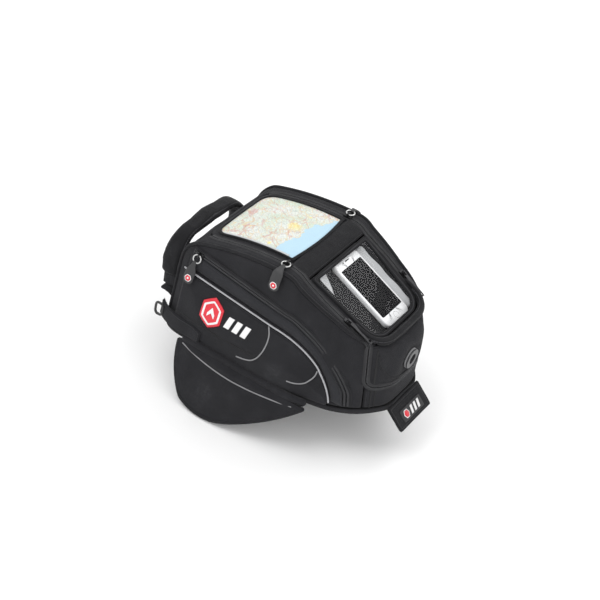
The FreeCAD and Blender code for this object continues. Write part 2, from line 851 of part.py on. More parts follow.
def main_sliders():
    """On the lid's zip at its crest; ring and tag drape over the deck's edge."""
    where = (-(s.crest_run + 7), -(s.lid_half_width + s.zip_gap / 2),
             s.crest_top + s.trim + 0.4)
    turn = Rotation(Vector(0, 0, 1), -90)
    ring, tag = ring_and_tag(True)
    body = slider_body(s.slider_width + 0, s.slider_length)
    for thing, name in ((body, "main_slider"), (ring, "main_ring"), (tag, "main_tag")):
        both_sides(settle(thing, where, turn), name)


def rear_sliders():
    """On the lid's zip beside the pouch; a flat metal puller lies down the slope."""
    along = 78
    narrow = (s.lid_half_width - s.lid_tail_half_width) / (s.rear_run + 30 - 60)
    reach = s.pouch_run + cosine(s.pouch_slope) * along
    across = -(s.lid_half_width + s.zip_gap / 2 - narrow * (reach - 60))
    where = pouch_point(along + 0 * s.wall, across, s.trim + 0.4)
    yaw = math.degrees(math.atan(narrow.value * math.cos(math.radians(number(s.pouch_slope)))))
    turn = Rotation(Vector(0, 1, 0), number(s.pouch_slope)) * Rotation(Vector(0, 0, 1), yaw)
    strip = box(44, s.slider_width - 1, 1.8, (-1.1, -(s.slider_width - 1) / 2, PIVOT - 0.9))
    slot = box(3.2, 4, 6, (1.1, -2, 0))
    hole = cylinder(2.2, 10, (38.5, 0, -2))
    body = slider_body(s.slider_length, s.slider_width)
    for thing, name in ((body, "rear_slider"), (cut(cut(strip, slot), hole), "rear_puller")):
        both_sides(settle(thing, where, turn), name)


def pocket_sliders():
    """At the front end of each pocket's zip; the tag hangs over the pocket."""
    front, rear = pocket_zip_line(0)[:2]
    run_x = rear[0] - front[0]
    run_z = rear[1] - front[1]
    slope = number(s.lean) / number(s.lean_top)
    flare = number(s.side_bow) / number(s.front_run - 27)
    run = Vector(number(run_x), -(flare * number(run_x) - slope * number(run_z)), number(run_z))
    run.normalize()
    face = Vector(-flare, -1, slope)
    off = run.cross(face).cross(run)
    off.normalize()
    pull = run.cross(off)
    turn = Rotation(pull, run, off, "ZXY")
    out = number(s.gusset_depth - s.trim) + 0.4
    x = number(front[0]) + 12
    z = number(front[1]) + 12 * number(run_z) / number(run_x)
    y = -(number(s.half_width) + flare * (x + number(s.front_run - 27)) - slope * z + out)
    body = slider_body(s.slider_width + 0, s.slider_length)
    ring, tag = ring_and_tag(False)
    where = [item + 0 * s.wall for item in (x, y, z)]
    both_sides(settle(body, where, turn), "pocket_slider")
    for thing, name in ((ring, "pocket_ring"), (tag, "pocket_tag")):
        both_sides(settle(thing, where, turn, -TAG_TILT), name)


TAG_TILT = 12       # degrees; the tag rests on the pocket's piping
main_sliders()
rear_sliders()
pocket_sliders()


def finish():
    doc.recompute()
    for thing in doc.Objects:
        if "Invalid" in thing.State or "Error" in thing.State:
            raise RuntimeError("%s (%s) failed: %s" % (thing.Name, thing.Label, thing.State))
    os.makedirs("parts", exist_ok=True)
    for thing in nodes:
        shape = thing.Shape
        if shape.isNull() or not shape.isValid() or not shape.Solids:
            raise RuntimeError("%s has no valid solid" % thing.Label)
        shape.exportStep("parts/%s.step" % thing.Label)
        print("%-24s %d solid(s) %10.1f mm3" % (thing.Label, len(shape.Solids), shape.Volume))
    print(len(nodes), "nodes")


finish()
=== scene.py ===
# %% [markdown]
# # A magnetic tank bag, sewn piece by piece
# A tank bag is a zipped cloth box that rides on a motorcycle's fuel tank. This one has a
# map window in its lid, a phone pouch behind it, a pocket on each side, a carry handle
# and magnet flaps. The frame loaded here holds every part at its true size, and each
# cloth part below is sewn again over it, softer, with its seams and its finish.

# %% Load the frame
import bmesh
import bpy
import math
import numpy as np
from mathutils import Matrix, Vector


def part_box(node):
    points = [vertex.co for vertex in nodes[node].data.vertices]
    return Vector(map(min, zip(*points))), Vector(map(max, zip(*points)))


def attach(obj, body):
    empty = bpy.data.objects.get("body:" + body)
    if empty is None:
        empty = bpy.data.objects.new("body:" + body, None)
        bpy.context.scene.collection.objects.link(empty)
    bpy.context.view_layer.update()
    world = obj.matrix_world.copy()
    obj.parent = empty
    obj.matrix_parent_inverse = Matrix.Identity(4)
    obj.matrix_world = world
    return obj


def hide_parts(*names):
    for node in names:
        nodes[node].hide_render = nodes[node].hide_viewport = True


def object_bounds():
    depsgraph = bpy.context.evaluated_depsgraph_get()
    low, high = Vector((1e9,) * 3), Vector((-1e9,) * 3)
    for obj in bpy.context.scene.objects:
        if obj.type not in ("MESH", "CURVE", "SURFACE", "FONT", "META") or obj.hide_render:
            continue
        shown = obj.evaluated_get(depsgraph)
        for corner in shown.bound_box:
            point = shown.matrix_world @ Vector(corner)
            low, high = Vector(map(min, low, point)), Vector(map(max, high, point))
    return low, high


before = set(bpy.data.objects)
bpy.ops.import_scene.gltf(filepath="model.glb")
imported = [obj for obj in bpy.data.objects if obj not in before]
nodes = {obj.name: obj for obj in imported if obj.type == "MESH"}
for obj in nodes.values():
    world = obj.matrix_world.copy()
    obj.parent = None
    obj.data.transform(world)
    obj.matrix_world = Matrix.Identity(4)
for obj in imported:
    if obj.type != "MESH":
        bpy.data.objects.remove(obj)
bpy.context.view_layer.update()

MM = 0.001
SIDES = ((-1, "left"), (1, "right"))


def box_mm(name):
    """A part's lowest and highest corner in millimetres."""
    low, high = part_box(name)
    return np.array(low) / MM, np.array(high) / MM


base_low, base_high = box_mm("base_panel")
FRONT, REAR, HALF = -base_low[0], base_high[0], base_high[1] - 2
CREST = box_mm("side_wall_left")[1][2]
FLOOR_TOP = base_high[2]
print("base from %.0f to %.0f mm, half width %.0f, crest %.0f" % (-FRONT, REAR, HALF, CREST))

# %% [markdown]
# ## Lines and forms
# Every cloth panel lies on one of two forms: the side view carried straight across, for
# the lid, deck, front and back, and the outline seen from above, leaning inward as it
# rises, for the sides. Both are chains of circular arcs, so a panel is only a range of
# distances along a chain and a range across it, and neighbours meet without fitting.

# %% Arcs and lines
def arc(a, m, c, n=24):
    """Points on the circle through a, m and c: centre + radius * (cos, sin) of even angles."""
    (ax, ay), (bx, by), (cx, cy) = a, m, c
    d = 2 * (ax * (by - cy) + bx * (cy - ay) + cx * (ay - by))
    qa, qb, qc = ax * ax + ay * ay, bx * bx + by * by, cx * cx + cy * cy
    centre = np.array([qa * (by - cy) + qb * (cy - ay) + qc * (ay - by),
                       qa * (cx - bx) + qb * (ax - cx) + qc * (bx - ax)]) / d
    turns = np.unwrap([math.atan2(p[1] - centre[1], p[0] - centre[0]) for p in (a, m, c)])
    t = np.linspace(turns[0], turns[2], n)
    return centre + math.dist(a, centre) * np.stack([np.cos(t), np.sin(t)], 1)


def distances(points):
    """Distance along a chain of points, from 0 at its start."""
    return np.r_[0, np.cumsum(np.linalg.norm(np.diff(points, axis=0), axis=1))]


def along(points, t, closed=False):
    """The points at distances t, each coordinate interpolated against distance."""
    if closed:
        points = np.vstack([points, points[:1]])
    s = distances(points)
    return np.stack([np.interp(t, s, points[:, k]) for k in range(points.shape[1])], -1)


def even(points, n, closed=False):
    """n points at even distances along a chain."""
    total = distances(np.vstack([points, points[:1]]) if closed else points)[-1]
    return along(points, np.linspace(0, total, n, endpoint=not closed), closed)


def soften(points, times, closed=False):
    """Each inner point moves halfway to the mean of its two neighbours, several times."""
    p = points.copy()
    for _ in range(times):
        mean = (np.roll(p, 1, 0) + np.roll(p, -1, 0)) / 2
        q = (p + mean) / 2
        if not closed:
            q[0], q[-1] = p[0], p[-1]
        p = q
    return p


def spline(points, n):
    """A smooth line through a few points: each span is a Hermite cubic with mean slopes."""
    p = np.array(points, float)
    s = distances(p)
    slope = np.gradient(p, s, axis=0)
    t = np.linspace(0, s[-1], n)
    k = np.clip(np.searchsorted(s, t, "right") - 1, 0, len(s) - 2)
    h = (s[k + 1] - s[k])[:, None]
    u = ((t - s[k])[:, None]) / h
    return ((2 * u**3 - 3 * u**2 + 1) * p[k] + (u**3 - 2 * u**2 + u) * h * slope[k]
            + (3 * u**2 - 2 * u**3) * p[k + 1] + (u**3 - u**2) * h * slope[k + 1])


def smooth(x):
    """0 below 0, 1 above 1, and 3x^2 - 2x^3 between."""
    x = np.clip(x, 0, 1)
    return x * x * (3 - 2 * x)


# %% The side view, carried across the bag
SLOPE = math.radians(25)
POUCH_X, POUCH_Z = 22.0, 168.5
HEEL = (POUCH_X + 140 * math.cos(SLOPE), POUCH_Z - 140 * math.sin(SLOPE))
side_view = np.vstack([
    [(-FRONT, 0)],
    arc((-FRONT, 108), (-FRONT + 6.5, 134), (-FRONT + 23, 152)),
    arc((-FRONT + 23, 152), (-74, 171.2), (-4, 178), 40)[1:],
    arc((-4, 178), (13, 174.9), (POUCH_X, POUCH_Z), 12)[1:],
    arc(HEEL, (HEEL[0] + 11.1, HEEL[1] - 9.3), (REAR - 3, 86), 16),
    [(REAR, 0)]])
side_s = distances(side_view)
rising = np.arange(len(side_view)) > 0


def profile(t):
    """The place (x, z) and the outward direction at distance t along the side view."""
    p = along(side_view, t)
    d = along(side_view, np.clip(t + 1.5, 0, side_s[-1])) - along(side_view, np.clip(t - 1.5, 0,
            side_s[-1]))
    d = d / np.linalg.norm(d, axis=-1, keepdims=True)
    return p, np.stack([-d[..., 1], d[..., 0]], -1)


def t_at_x(x):
    """Distance along the side view where its upper side passes x."""
    return np.interp(x, side_view[rising, 0], side_s[rising])


def t_at_rear(z):
    """Distance along the side view where its back passes height z."""
    k = side_view[:, 0] > HEEL[0] - 1
    return np.interp(-np.asarray(z, float), -side_view[k, 1], side_s[k])


def over(t, y, lift=0.0):
    """A point of the top: the side view at t, carried across to y, raised by lift."""
    p, n = profile(t)
    lift = np.asarray(lift, float)
    return np.stack(np.broadcast_arrays(p[..., 0] + lift * n[..., 0], y, p[..., 1] + lift * n[..., 1]), -1)


print("side view %.0f mm round" % side_s[-1])

# %% The outline from above, leaning inward
LEAN, LEAN_TOP = 22.0, 180.0


def section(z):
    """Half of the outline at height z, from the middle of the front to the middle of the back."""
    inward = LEAN * z / LEAN_TOP
    wide, late, tail = HALF - inward, HALF - 10 - inward, 54 - 0.6 * inward
    return np.vstack([
        [(-FRONT - 19, 0)],
        arc((-FRONT - 19, HALF - 46 - inward), (-FRONT - 5.5, HALF - 13.5 - inward), (-FRONT + 27, wide),
            20),
        [(0, wide + 2)],
        arc((0, wide + 2), (42, 0.32 * wide + 0.68 * late + 5.6), (80, late), 20)[1:],
        arc((80, late), (REAR - 40 - 0.2 * inward, 0.58 * late + 0.46 * tail), (REAR - 10 - 0.4 * inward,
                tail), 20)[1:],
        arc((REAR - 10 - 0.4 * inward, tail), (REAR + 8 - 0.4 * inward, 0), (REAR - 10 - 0.4 * inward,
                -tail), 25)[1:13]])


ground, ceiling = section(0.0), section(LEAN_TOP)
wall_s = distances(ground)


def wall(s, z, lift=0.0, side=1):
    """A point of the side: the outline at station s, mixed between the ground and the ceiling
    by height z, and moved outward by lift along the outline's own normal."""
    s, z, lift = np.broadcast_arrays(np.asarray(s, float), np.asarray(z, float), np.asarray(lift, float))
    h = (z / LEAN_TOP)[..., None]

    def at(d):
        return (np.stack([np.interp(d, wall_s, ground[:, k]) for k in (0, 1)], -1) * (1 - h)
                + np.stack([np.interp(d, wall_s, ceiling[:, k]) for k in (0, 1)], -1) * h)

    p, d = at(s), at(s + 4) - at(s - 4)
    d = d / np.linalg.norm(d, axis=-1, keepdims=True)
    return np.stack([p[..., 0] - d[..., 1] * lift, side * (p[..., 1] + d[..., 0] * lift), z], -1)


def station(x, z):
    """The station whose point at height z lies at x, found by correcting three times."""
    x, z = np.broadcast_arrays(np.asarray(x, float), np.asarray(z, float))
    shift = ceiling[:, 0] - ground[:, 0]
    s = np.interp(x, ground[1:, 0], wall_s[1:])
    for _ in range(4):
        s = np.interp(x - np.interp(s, wall_s, shift) * z / LEAN_TOP, ground[1:, 0], wall_s[1:])
    return s


def station_y(y, z):
    """The station on the tail whose point at height z lies y from the middle."""
    y, z = np.broadcast_arrays(np.asarray(y, float), np.asarray(z, float))
    tail = ground[:, 0] > 60
    shift = (ceiling[:, 1] - ground[:, 1])[tail]
    key, dist = -ground[tail, 1], wall_s[tail]
    s = np.interp(-y, key, dist)
    for _ in range(5):
        s = np.interp(-(y - np.interp(s, dist, shift) * z / LEAN_TOP), key, dist)
    return s


def edge_y(t):
    """How far out the top reaches at distance t along the side view."""
    p, _ = profile(t)
    return wall(station(p[..., 0], p[..., 1]), p[..., 1])[..., 1]


def least(a, b, r):
    """The lesser of a and b, rounded over a distance r where they meet."""
    h = np.clip(0.5 + 0.5 * (b - a) / r, 0, 1)
    return b + (a - b) * h - r * h * (1 - h)


def back(t, y):
    """The back: the side view at t, drawn in where the outline from above is nearer."""
    p, _ = profile(t)
    t, y = np.broadcast_arrays(t, y)
    z = np.broadcast_to(p[..., 1], y.shape)
    plan = wall(station_y(np.abs(y), z), z)[..., 0]
    return np.stack([least(np.broadcast_to(p[..., 0], y.shape), plan, 9.0), y, z], -1)


print("outline %.0f mm round one half" % wall_s[-1])

# %% [markdown]
# ## Cloth pieces from grids
# A sewn panel is a padded closed form: its back lies on the form, its face stands off by
# the cloth and padding, and it thins to almost nothing at the seam. So one function turns
# a grid of points into such a pad, and a second carries a rounded section along a line for
# piping, bindings, straps and rolls. Both store how far each point is from the seam and
# how far along it, which is all that a row of stitches needs.

# %% Meshes from grids
def mesh_piece(name, points, faces, body, cloth=None, seam=None):
    """A mesh from points in millimetres and lists of faces, facing outward, with the cloth
    coordinates and the seam coordinates of each point stored in metres."""
    mesh = bpy.data.meshes.new(name)
    mesh.from_pydata((points * MM).tolist(), [], [f for g in faces for f in np.asarray(g).tolist()])
    for label, data in (("cloth", cloth), ("seam", seam)):
        if data is not None:
            values = np.zeros((len(points), 3), np.float32)
            values[:, :data.shape[1]] = data * MM
            mesh.attributes.new(label, "FLOAT_VECTOR", "POINT").data.foreach_set("vector", values.ravel())
    work = bmesh.new()
    work.from_mesh(mesh)
    bmesh.ops.recalc_face_normals(work, faces=work.faces)
    work.to_mesh(mesh)
    work.free()
    mesh.polygons.foreach_set("use_smooth", np.ones(len(mesh.polygons), bool))
    piece = bpy.data.objects.new(name, mesh)
    bpy.context.scene.collection.objects.link(piece)
    if body:
        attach(piece, body)
    return piece


def grid_faces(nu, nv, closed, start=0):
    """The four-sided faces of a grid whose point (i, j) has number start + i * nv + j."""
    i = np.arange(nu if closed else nu - 1)[:, None]
    j = np.arange(nv - 1)[None]
    k = (i + 1) % nu
    return start + np.stack([i * nv + j, k * nv + j, k * nv + j + 1, i * nv + j + 1], -1).reshape(-1, 4)


def spans(grid, axis):
    """Distance along one direction of a grid, and its total."""
    step = np.linalg.norm(np.diff(grid, axis=axis), axis=-1)
    pad_at = [(0, 0), (0, 0)]
    pad_at[axis] = (1, 0)
    run = np.cumsum(np.pad(step, pad_at), axis=axis)
    total = np.take(run, [-1], axis=axis)
    return run, total


def facing(grid, centre, closed=False):
    """The unit normals of a grid: the cross product of its two directions, turned away
    from a centre point."""
    ring = np.concatenate([grid[-1:], grid, grid[:1]]) if closed else grid
    du = np.gradient(ring, axis=0)
    dv = np.gradient(ring, axis=1)
    n = np.cross(du, dv)
    n /= np.maximum(np.linalg.norm(n, axis=-1, keepdims=True), 1e-9)
    if closed:
        n = n[1:-1]
    if np.sum(n * (grid - centre)) < 0:
        n = -n
    return n


def creases(p, size, seed):
    """Small even waves in cloth: the mean of five sines in fixed directions, from -1 to 1."""
    turn = np.random.default_rng(seed)
    total = 0
    for k in range(5):
        d = turn.normal(size=3)
        total = total + np.sin(p @ (d / np.linalg.norm(d)) * (2 * math.pi / size) * (0.7 + 0.2 * k)
                               + turn.uniform(0, 6.3))
    return total / 5


BAG_MIDDLE = np.array([0.0, 0.0, 70.0])


LEAST_EDGE = 0.12  # share of a pad's depth left at its seam


def pad(name, grid, depth, body, rim=4.0, wave=0.5, size=34.0, seed=1, open_sides=(), closed=False,
        centre=BAG_MIDDLE):
    """A padded panel. Its face is grid + n * wave * creases and sinks by
    depth * (1 - sqrt(1 - (1 - d / rim)^2)) within rim of a seam at distance d; its back is
    grid - n * depth. open_sides names sides, of u0 u1 v0 v1, that don't thin."""
    nu, nv = grid.shape[:2]
    n = facing(grid, centre, closed)
    u, lu = spans(grid, 0)
    v, lv = spans(grid, 1)
    far = np.full(grid.shape[:2], 1e3)
    near = {"u0": u, "u1": lu - u, "v0": v, "v1": lv - v}
    for label, d in near.items():
        if label in open_sides or (closed and label[0] == "u"):
            continue
        far = np.minimum(far, d)
    upright = np.minimum(v, lv - v) <= np.minimum(u, lu - u)
    run = np.where(upright | closed, u, v)
    thin = np.sqrt(1 - (1 - np.clip(far / rim, 0, 1)) ** 2)
    thin = LEAST_EDGE + (1 - LEAST_EDGE) * thin
    face = grid + n * (wave * creases(grid, size, seed) * smooth(far / 12.0)
                       - depth * (1 - thin))[..., None]
    rear = grid - n * depth
    count = nu * nv
    faces = [grid_faces(nu, nv, closed), grid_faces(nu, nv, closed, count)]
    number = np.arange(count).reshape(nu, nv)
    borders = [number[:, 0], number[:, -1]]
    if not closed:
        borders += [number[0], number[-1]]
    for line in borders:
        ring = np.r_[line, line[:1]] if closed else line
        faces.append(np.stack([ring[:-1], ring[1:], ring[1:] + count, ring[:-1] + count], 1))
    cloth = np.stack([u, v], -1).reshape(-1, 2)
    seam = np.stack([far, run], -1).reshape(-1, 2)
    return mesh_piece(name, np.vstack([face.reshape(-1, 3), rear.reshape(-1, 3)]), faces, body,
                      np.vstack([cloth, cloth]), np.vstack([seam, seam]))


def sweep(name, path, out, a, b, body, power=2.0, around=16, closed=False, blunt=0.0):
    """A rounded section carried along a line: at each point out * a * |cos|^(2/power) and
    across * b * |sin|^(2/power). blunt is the length over which an end rounds off."""
    path = np.asarray(path, float)
    m = len(path)
    ring = np.vstack([path[-1:], path, path[:1]]) if closed else path
    t = np.gradient(ring, axis=0)
    t = t[1:-1] if closed else t
    t /= np.linalg.norm(t, axis=1, keepdims=True)
    out = np.broadcast_to(np.asarray(out, float), (m, 3))
    out = out - np.sum(out * t, 1, keepdims=True) * t
    out = out / np.linalg.norm(out, axis=1, keepdims=True)
    across = np.cross(t, out)
    s = distances(path)
    if blunt and not closed:
        left = np.minimum(s, s[-1] - s)
        fade = np.sqrt(np.clip(1 - (1 - np.clip(left / blunt, 0, 1)) ** 2, 0.01, 1))
    else:
        fade = np.ones(m)
    a, b = np.broadcast_to(a, m) * fade, np.broadcast_to(b, m) * fade
    w = np.linspace(0, 2 * math.pi, around, endpoint=False)
    c, d = np.cos(w), np.sin(w)
    c = np.sign(c) * np.abs(c) ** (2 / power)
    d = np.sign(d) * np.abs(d) ** (2 / power)
    points = (path[:, None] + out[:, None] * (a[:, None] * c)[..., None]
              + across[:, None] * (b[:, None] * d)[..., None])
    number = np.arange(m * around).reshape(m, around)
    i = np.arange(m if closed else m - 1)[:, None]
    j, k, i2 = np.arange(around)[None], (np.arange(around)[None] + 1) % around, (i + 1) % m
    faces = [np.stack([i * around + j, i2 * around + j, i2 * around + k, i * around + k], -1).reshape(-1,
            4)]
    if not closed:
        faces += [number[0][None, ::-1], number[-1][None]]
    girth = np.sum(np.linalg.norm(np.diff(points[m // 2], axis=0), axis=1)) / around
    cloth = np.stack(np.broadcast_arrays(s[:, None], j * girth), -1).reshape(-1, 2)
    seam = np.stack([np.abs((b[:, None] * d)).ravel(), cloth[:, 0]], -1)
    return mesh_piece(name, points.reshape(-1, 3), faces, body, cloth, seam)


def laid(name, place, low, high, a, b, body, slot, material, *stood_for, **how):
    """A cord on a surface: place(lift) gives its line at a lift, and high says which way is out."""
    line = place(low)
    put_back(sweep(name, line, place(high) - line, a, b, body, **how), slot, material, *stood_for)


def closed_sheet(name, face, rear, body, cloth_axes=None, seam_shift=0):
    """A thin closed form between two ring grids: both faces, their middles and the rim."""
    nu, nv = face.shape[:2]
    number = np.arange(nu * nv).reshape(nu, nv)
    rim = np.r_[number[:, -1], number[:1, -1]]
    faces = [grid_faces(nu, nv, True), grid_faces(nu, nv, True, nu * nv),
             number[:, 0][None], number[:, 0][None] + nu * nv,
             np.stack([rim[:-1], rim[1:], rim[1:] + nu * nv, rim[:-1] + nu * nv], 1)]
    points = np.vstack([face.reshape(-1, 3), rear.reshape(-1, 3)])
    if cloth_axes is None:
        return mesh_piece(name, points, faces, body)
    cloth = points[:, cloth_axes]
    return mesh_piece(name, points, faces, body, cloth, cloth + seam_shift)


def put_back(piece, slot, material, *stood_for):
    """Gives the material, hides the frame parts that the piece stands for, and prints its name, point count
    and finish slot.
    """
    piece.data.materials.clear()
    piece.data.materials.append(material)
    if stood_for:
        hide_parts(*stood_for)
    print("%-24s %6d points, %s" % (piece.name, len(piece.data.vertices), slot))
    return piece

# %% [markdown]
# ## Finishes
# The bag's cloth is a coarse nylon: thick yarns over and under each other, dull, with a
# little pale dust on the high spots. Weave, stitches and wear are node groups that give
# heights and masks; each finish places them with its own pitch, so cloth, webbing and
# binding share one idea of thread. The groups read the coordinates stored by the pads, so
# a weave runs along its panel and stitches follow the seam.

# %% A small way to wire nodes
class Net:
    """Adds nodes to a tree; an input is given as a value or as another node's output."""

    def __init__(self, tree):
        self.tree = tree

    def add(self, kind, inputs=(), **props):
        node = self.tree.nodes.new(kind)
        for key, value in props.items():
            setattr(node, key, value)
        for key, value in dict(inputs).items():
            socket = node.inputs[key]
            if isinstance(value, bpy.types.NodeSocket):
                self.tree.links.new(value, socket)
            else:
                socket.default_value = value
        return node

    def math(self, operation, a, b=0.0, c=0.0, clamp=False):
        return self.add("ShaderNodeMath", {0: a, 1: b, 2: c}, operation=operation,
                        use_clamp=clamp).outputs[0]

    def mix(self, share, a, b):
        node = self.add("ShaderNodeMix", {0: share, 6: a, 7: b}, data_type="RGBA")
        return node.outputs[2]

    def range(self, value, low, high, to_low=0.0, to_high=1.0):
        return self.add("ShaderNodeMapRange", {0: value, 1: low, 2: high, 3: to_low, 4: to_high}).outputs[0]

    def noise(self, where, scale, detail=3.0, rough=0.55):
        return self.add("ShaderNodeTexNoise", {"Vector": where, "Scale": scale, "Detail": detail,
                                               "Roughness": rough}).outputs[0]

    def parts(self, vector):
        node = self.add("ShaderNodeSeparateXYZ", {0: vector})
        return node.outputs[0], node.outputs[1], node.outputs[2]

    def stored(self, name):
        return self.add("ShaderNodeAttribute", attribute_name=name,
                        attribute_type="GEOMETRY").outputs["Vector"]


def group(name, takes, gives):
    """An empty node group with named inputs and outputs."""
    tree = bpy.data.node_groups.new(name, "ShaderNodeTree")
    for label, kind, value in takes:
        socket = tree.interface.new_socket(label, in_out="INPUT", socket_type="NodeSocket" + kind)
        if value is not None:
            socket.default_value = value
    for label, kind in gives:
        tree.interface.new_socket(label, in_out="OUTPUT", socket_type="NodeSocket" + kind)
    net = Net(tree)
    return tree, net, net.add("NodeGroupInput").outputs, net.add("NodeGroupOutput").inputs


def colour(r, g, b):
    return (r, g, b, 1.0)


# %% Threads over and under
weave, net, have, give = group("weave", [("Where", "Vector", None), ("Pitch mm", "Float", 1.0)],
                               [("Height", "Float"), ("Yarn", "Float")])
u, v, _ = net.parts(have["Where"])
turn_u = net.math("MULTIPLY", net.math("DIVIDE", u, have["Pitch mm"]), 1000 * math.pi)
turn_v = net.math("MULTIPLY", net.math("DIVIDE", v, have["Pitch mm"]), 1000 * math.pi)
wave_u, wave_v = net.math("SINE", turn_u), net.math("SINE", turn_v)
over_under = net.math("GREATER_THAN", net.math("MULTIPLY", wave_u, wave_v), 0.0)
warp, weft = net.math("ABSOLUTE", wave_u), net.math("ABSOLUTE", wave_v)
height = net.math("ADD", net.math("MULTIPLY", warp, over_under),
                  net.math("MULTIPLY", weft, net.math("SUBTRACT", 1.0, over_under)))
net.tree.links.new(height, give["Height"])
net.tree.links.new(net.math("ADD", net.math("MULTIPLY", over_under, 0.6), 0.2), give["Yarn"])

# %% A row of stitches along a seam
stitches, net, have, give = group(
    "stitches", [("Seam", "Vector", None), ("In mm", "Float", 3.0), ("Long mm", "Float", 3.4)],
    [("Thread", "Float"), ("Groove", "Float")])
off, run, _ = net.parts(have["Seam"])
away = net.math("ABSOLUTE", net.math("SUBTRACT", net.math("MULTIPLY", off, 1000.0), have["In mm"]))
place = net.math("FRACT", net.math("DIVIDE", net.math("MULTIPLY", run, 1000.0), have["Long mm"]))
dash = net.range(net.math("ABSOLUTE", net.math("SUBTRACT", place, 0.5)), 0.42, 0.34)
net.tree.links.new(net.math("MULTIPLY", net.range(away, 0.5, 0.25), dash), give["Thread"])
# Groove: 1 within 0.3 mm of the stitch row and 0 beyond 1.6 mm; the cloth finish sinks the bump there and
# paints shade into it
net.tree.links.new(net.range(away, 1.6, 0.3), give["Groove"])

# %% Dust, fading and folds
wear, net, have, give = group("wear", [("Where", "Vector", None), ("Amount", "Float", 0.5)],
                              [("Dust", "Float"), ("Fade", "Float"), ("Folds", "Float")])
coarse = net.noise(have["Where"], 22.0, 4.0, 0.6)
fine = net.noise(have["Where"], 480.0, 2.0, 0.7)
specks = net.range(net.math("MULTIPLY", fine, net.range(coarse, 0.3, 0.75)), 0.36, 0.62)
net.tree.links.new(net.math("MULTIPLY", specks, have["Amount"]), give["Dust"])
net.tree.links.new(net.math("MULTIPLY", net.range(coarse, 0.35, 0.7), have["Amount"]), give["Fade"])
net.tree.links.new(net.noise(have["Where"], 38.0, 3.0, 0.5), give["Folds"])
print("groups", [g.name for g in bpy.data.node_groups])


# %% A cloth finish
def new_material(name):
    material = bpy.data.materials.new(name)
    material.use_nodes = True
    material.node_tree.nodes.clear()
    return material, Net(material.node_tree)


def close(net, shader):
    net.add("ShaderNodeOutputMaterial", {"Surface": shader})


def cloth_finish(name, dark, light, pitch, rough=0.85, sheen=0.06, stitch=3.0, ribs=0.0,
                 weave_depth=0.00045, folds=0.0022):
    """Woven cloth: a dark and a light yarn, dust on top, a groove with painted shade in it and a row of
    stitches along the seams. ribs turns the weave into the long ribs of webbing."""
    material, net = new_material(name)
    where = net.stored("cloth")
    seam = net.stored("seam")
    solid = net.add("ShaderNodeTexCoord").outputs["Object"]
    threads = net.add("ShaderNodeGroup", {}, node_tree=weave)
    net.tree.links.new(where, threads.inputs["Where"])
    threads.inputs["Pitch mm"].default_value = pitch
    worn = net.add("ShaderNodeGroup", {}, node_tree=wear)
    net.tree.links.new(solid, worn.inputs["Where"])
    worn.inputs["Amount"].default_value = 0.5
    row = net.add("ShaderNodeGroup", {}, node_tree=stitches)
    net.tree.links.new(seam, row.inputs["Seam"])
    row.inputs["In mm"].default_value = stitch
    shade = net.mix(net.math("MULTIPLY", threads.outputs["Height"], 0.75), colour(*dark), colour(*light))
    shade = net.mix(net.math("MULTIPLY", worn.outputs["Fade"], 0.5), shade,
                    colour(*[c * 1.5 + 0.004 for c in light]))
    shade = net.mix(net.math("MULTIPLY", worn.outputs["Dust"], 0.25), shade, colour(0.13, 0.13, 0.135))
    height = net.math("MULTIPLY", threads.outputs["Height"], weave_depth)
    if ribs:
        rib_u = net.math("SINE", net.math("MULTIPLY", net.parts(where)[1], 2000 * math.pi / ribs))
        height = net.math("ADD", height, net.math("MULTIPLY", rib_u, 0.00025))
    height = net.math("ADD", height, net.math("MULTIPLY", worn.outputs["Folds"], folds))
    if stitch:
        # Painted shade: the cloth in the stitch groove is darkened towards 0.45 of its dark yarn
        shade = net.mix(net.math("MULTIPLY", row.outputs["Groove"], 0.55), shade,
                        colour(*[c * 0.45 for c in dark]))
        shade = net.mix(row.outputs["Thread"], shade, colour(0.05, 0.05, 0.055))
        height = net.math("SUBTRACT", height, net.math("MULTIPLY", row.outputs["Groove"], 0.0008))
        height = net.math("ADD", height, net.math("MULTIPLY", row.outputs["Thread"], 0.0006))
    bump = net.add("ShaderNodeBump", {"Height": height, "Strength": 0.85, "Distance": 1.0})
    roughness = net.range(worn.outputs["Fade"], 0.0, 1.0, rough, min(rough + 0.08, 1.0))
    shader = net.add("ShaderNodeBsdfPrincipled", {
        "Base Color": shade, "Roughness": roughness, "Normal": bump.outputs[0],
        "Sheen Weight": sheen, "Sheen Roughness": 0.45, "Specular IOR Level": 0.14})
    close(net, shader.outputs[0])
    return material


cordura = cloth_finish("coarse black nylon", (0.007, 0.007, 0.008), (0.026, 0.026, 0.030), 1.15)
cordura_flap = cloth_finish("coarse black nylon of the flaps", (0.007, 0.007, 0.008), (0.027, 0.027,
        0.031), 1.15, stitch=0)
gusset_cloth = cloth_finish("pocket gusset nylon", (0.010, 0.010, 0.012), (0.036, 0.037, 0.042), 1.4,
                            sheen=0.1)
smooth_cloth = cloth_finish("smooth black nylon", (0.006, 0.006, 0.007), (0.016, 0.016, 0.018), 0.6, 0.7,
                            0.05, 4.0,
                            weave_depth=0.00015, folds=0.003)
base_cloth = cloth_finish("non-slip base", (0.012, 0.012, 0.012), (0.03, 0.03, 0.03), 3.0, 0.8, 0.05, 6.0,
                          weave_depth=0.0007)
lining = cloth_finish("pouch lining", (0.010, 0.010, 0.011), (0.020, 0.020, 0.022), 0.5, 0.6, 0.05, 0,
                      weave_depth=0.0001)
webbing = cloth_finish("black webbing", (0.010, 0.010, 0.012), (0.034, 0.034, 0.038), 1.6, 0.75, 0.06,
                       2.0, ribs=2.2)
binding = cloth_finish("edge binding", (0.008, 0.008, 0.010), (0.024, 0.024, 0.027), 0.9, 0.7, 0.05, 0,
                       ribs=1.1)
print("cloths", len(bpy.data.materials))


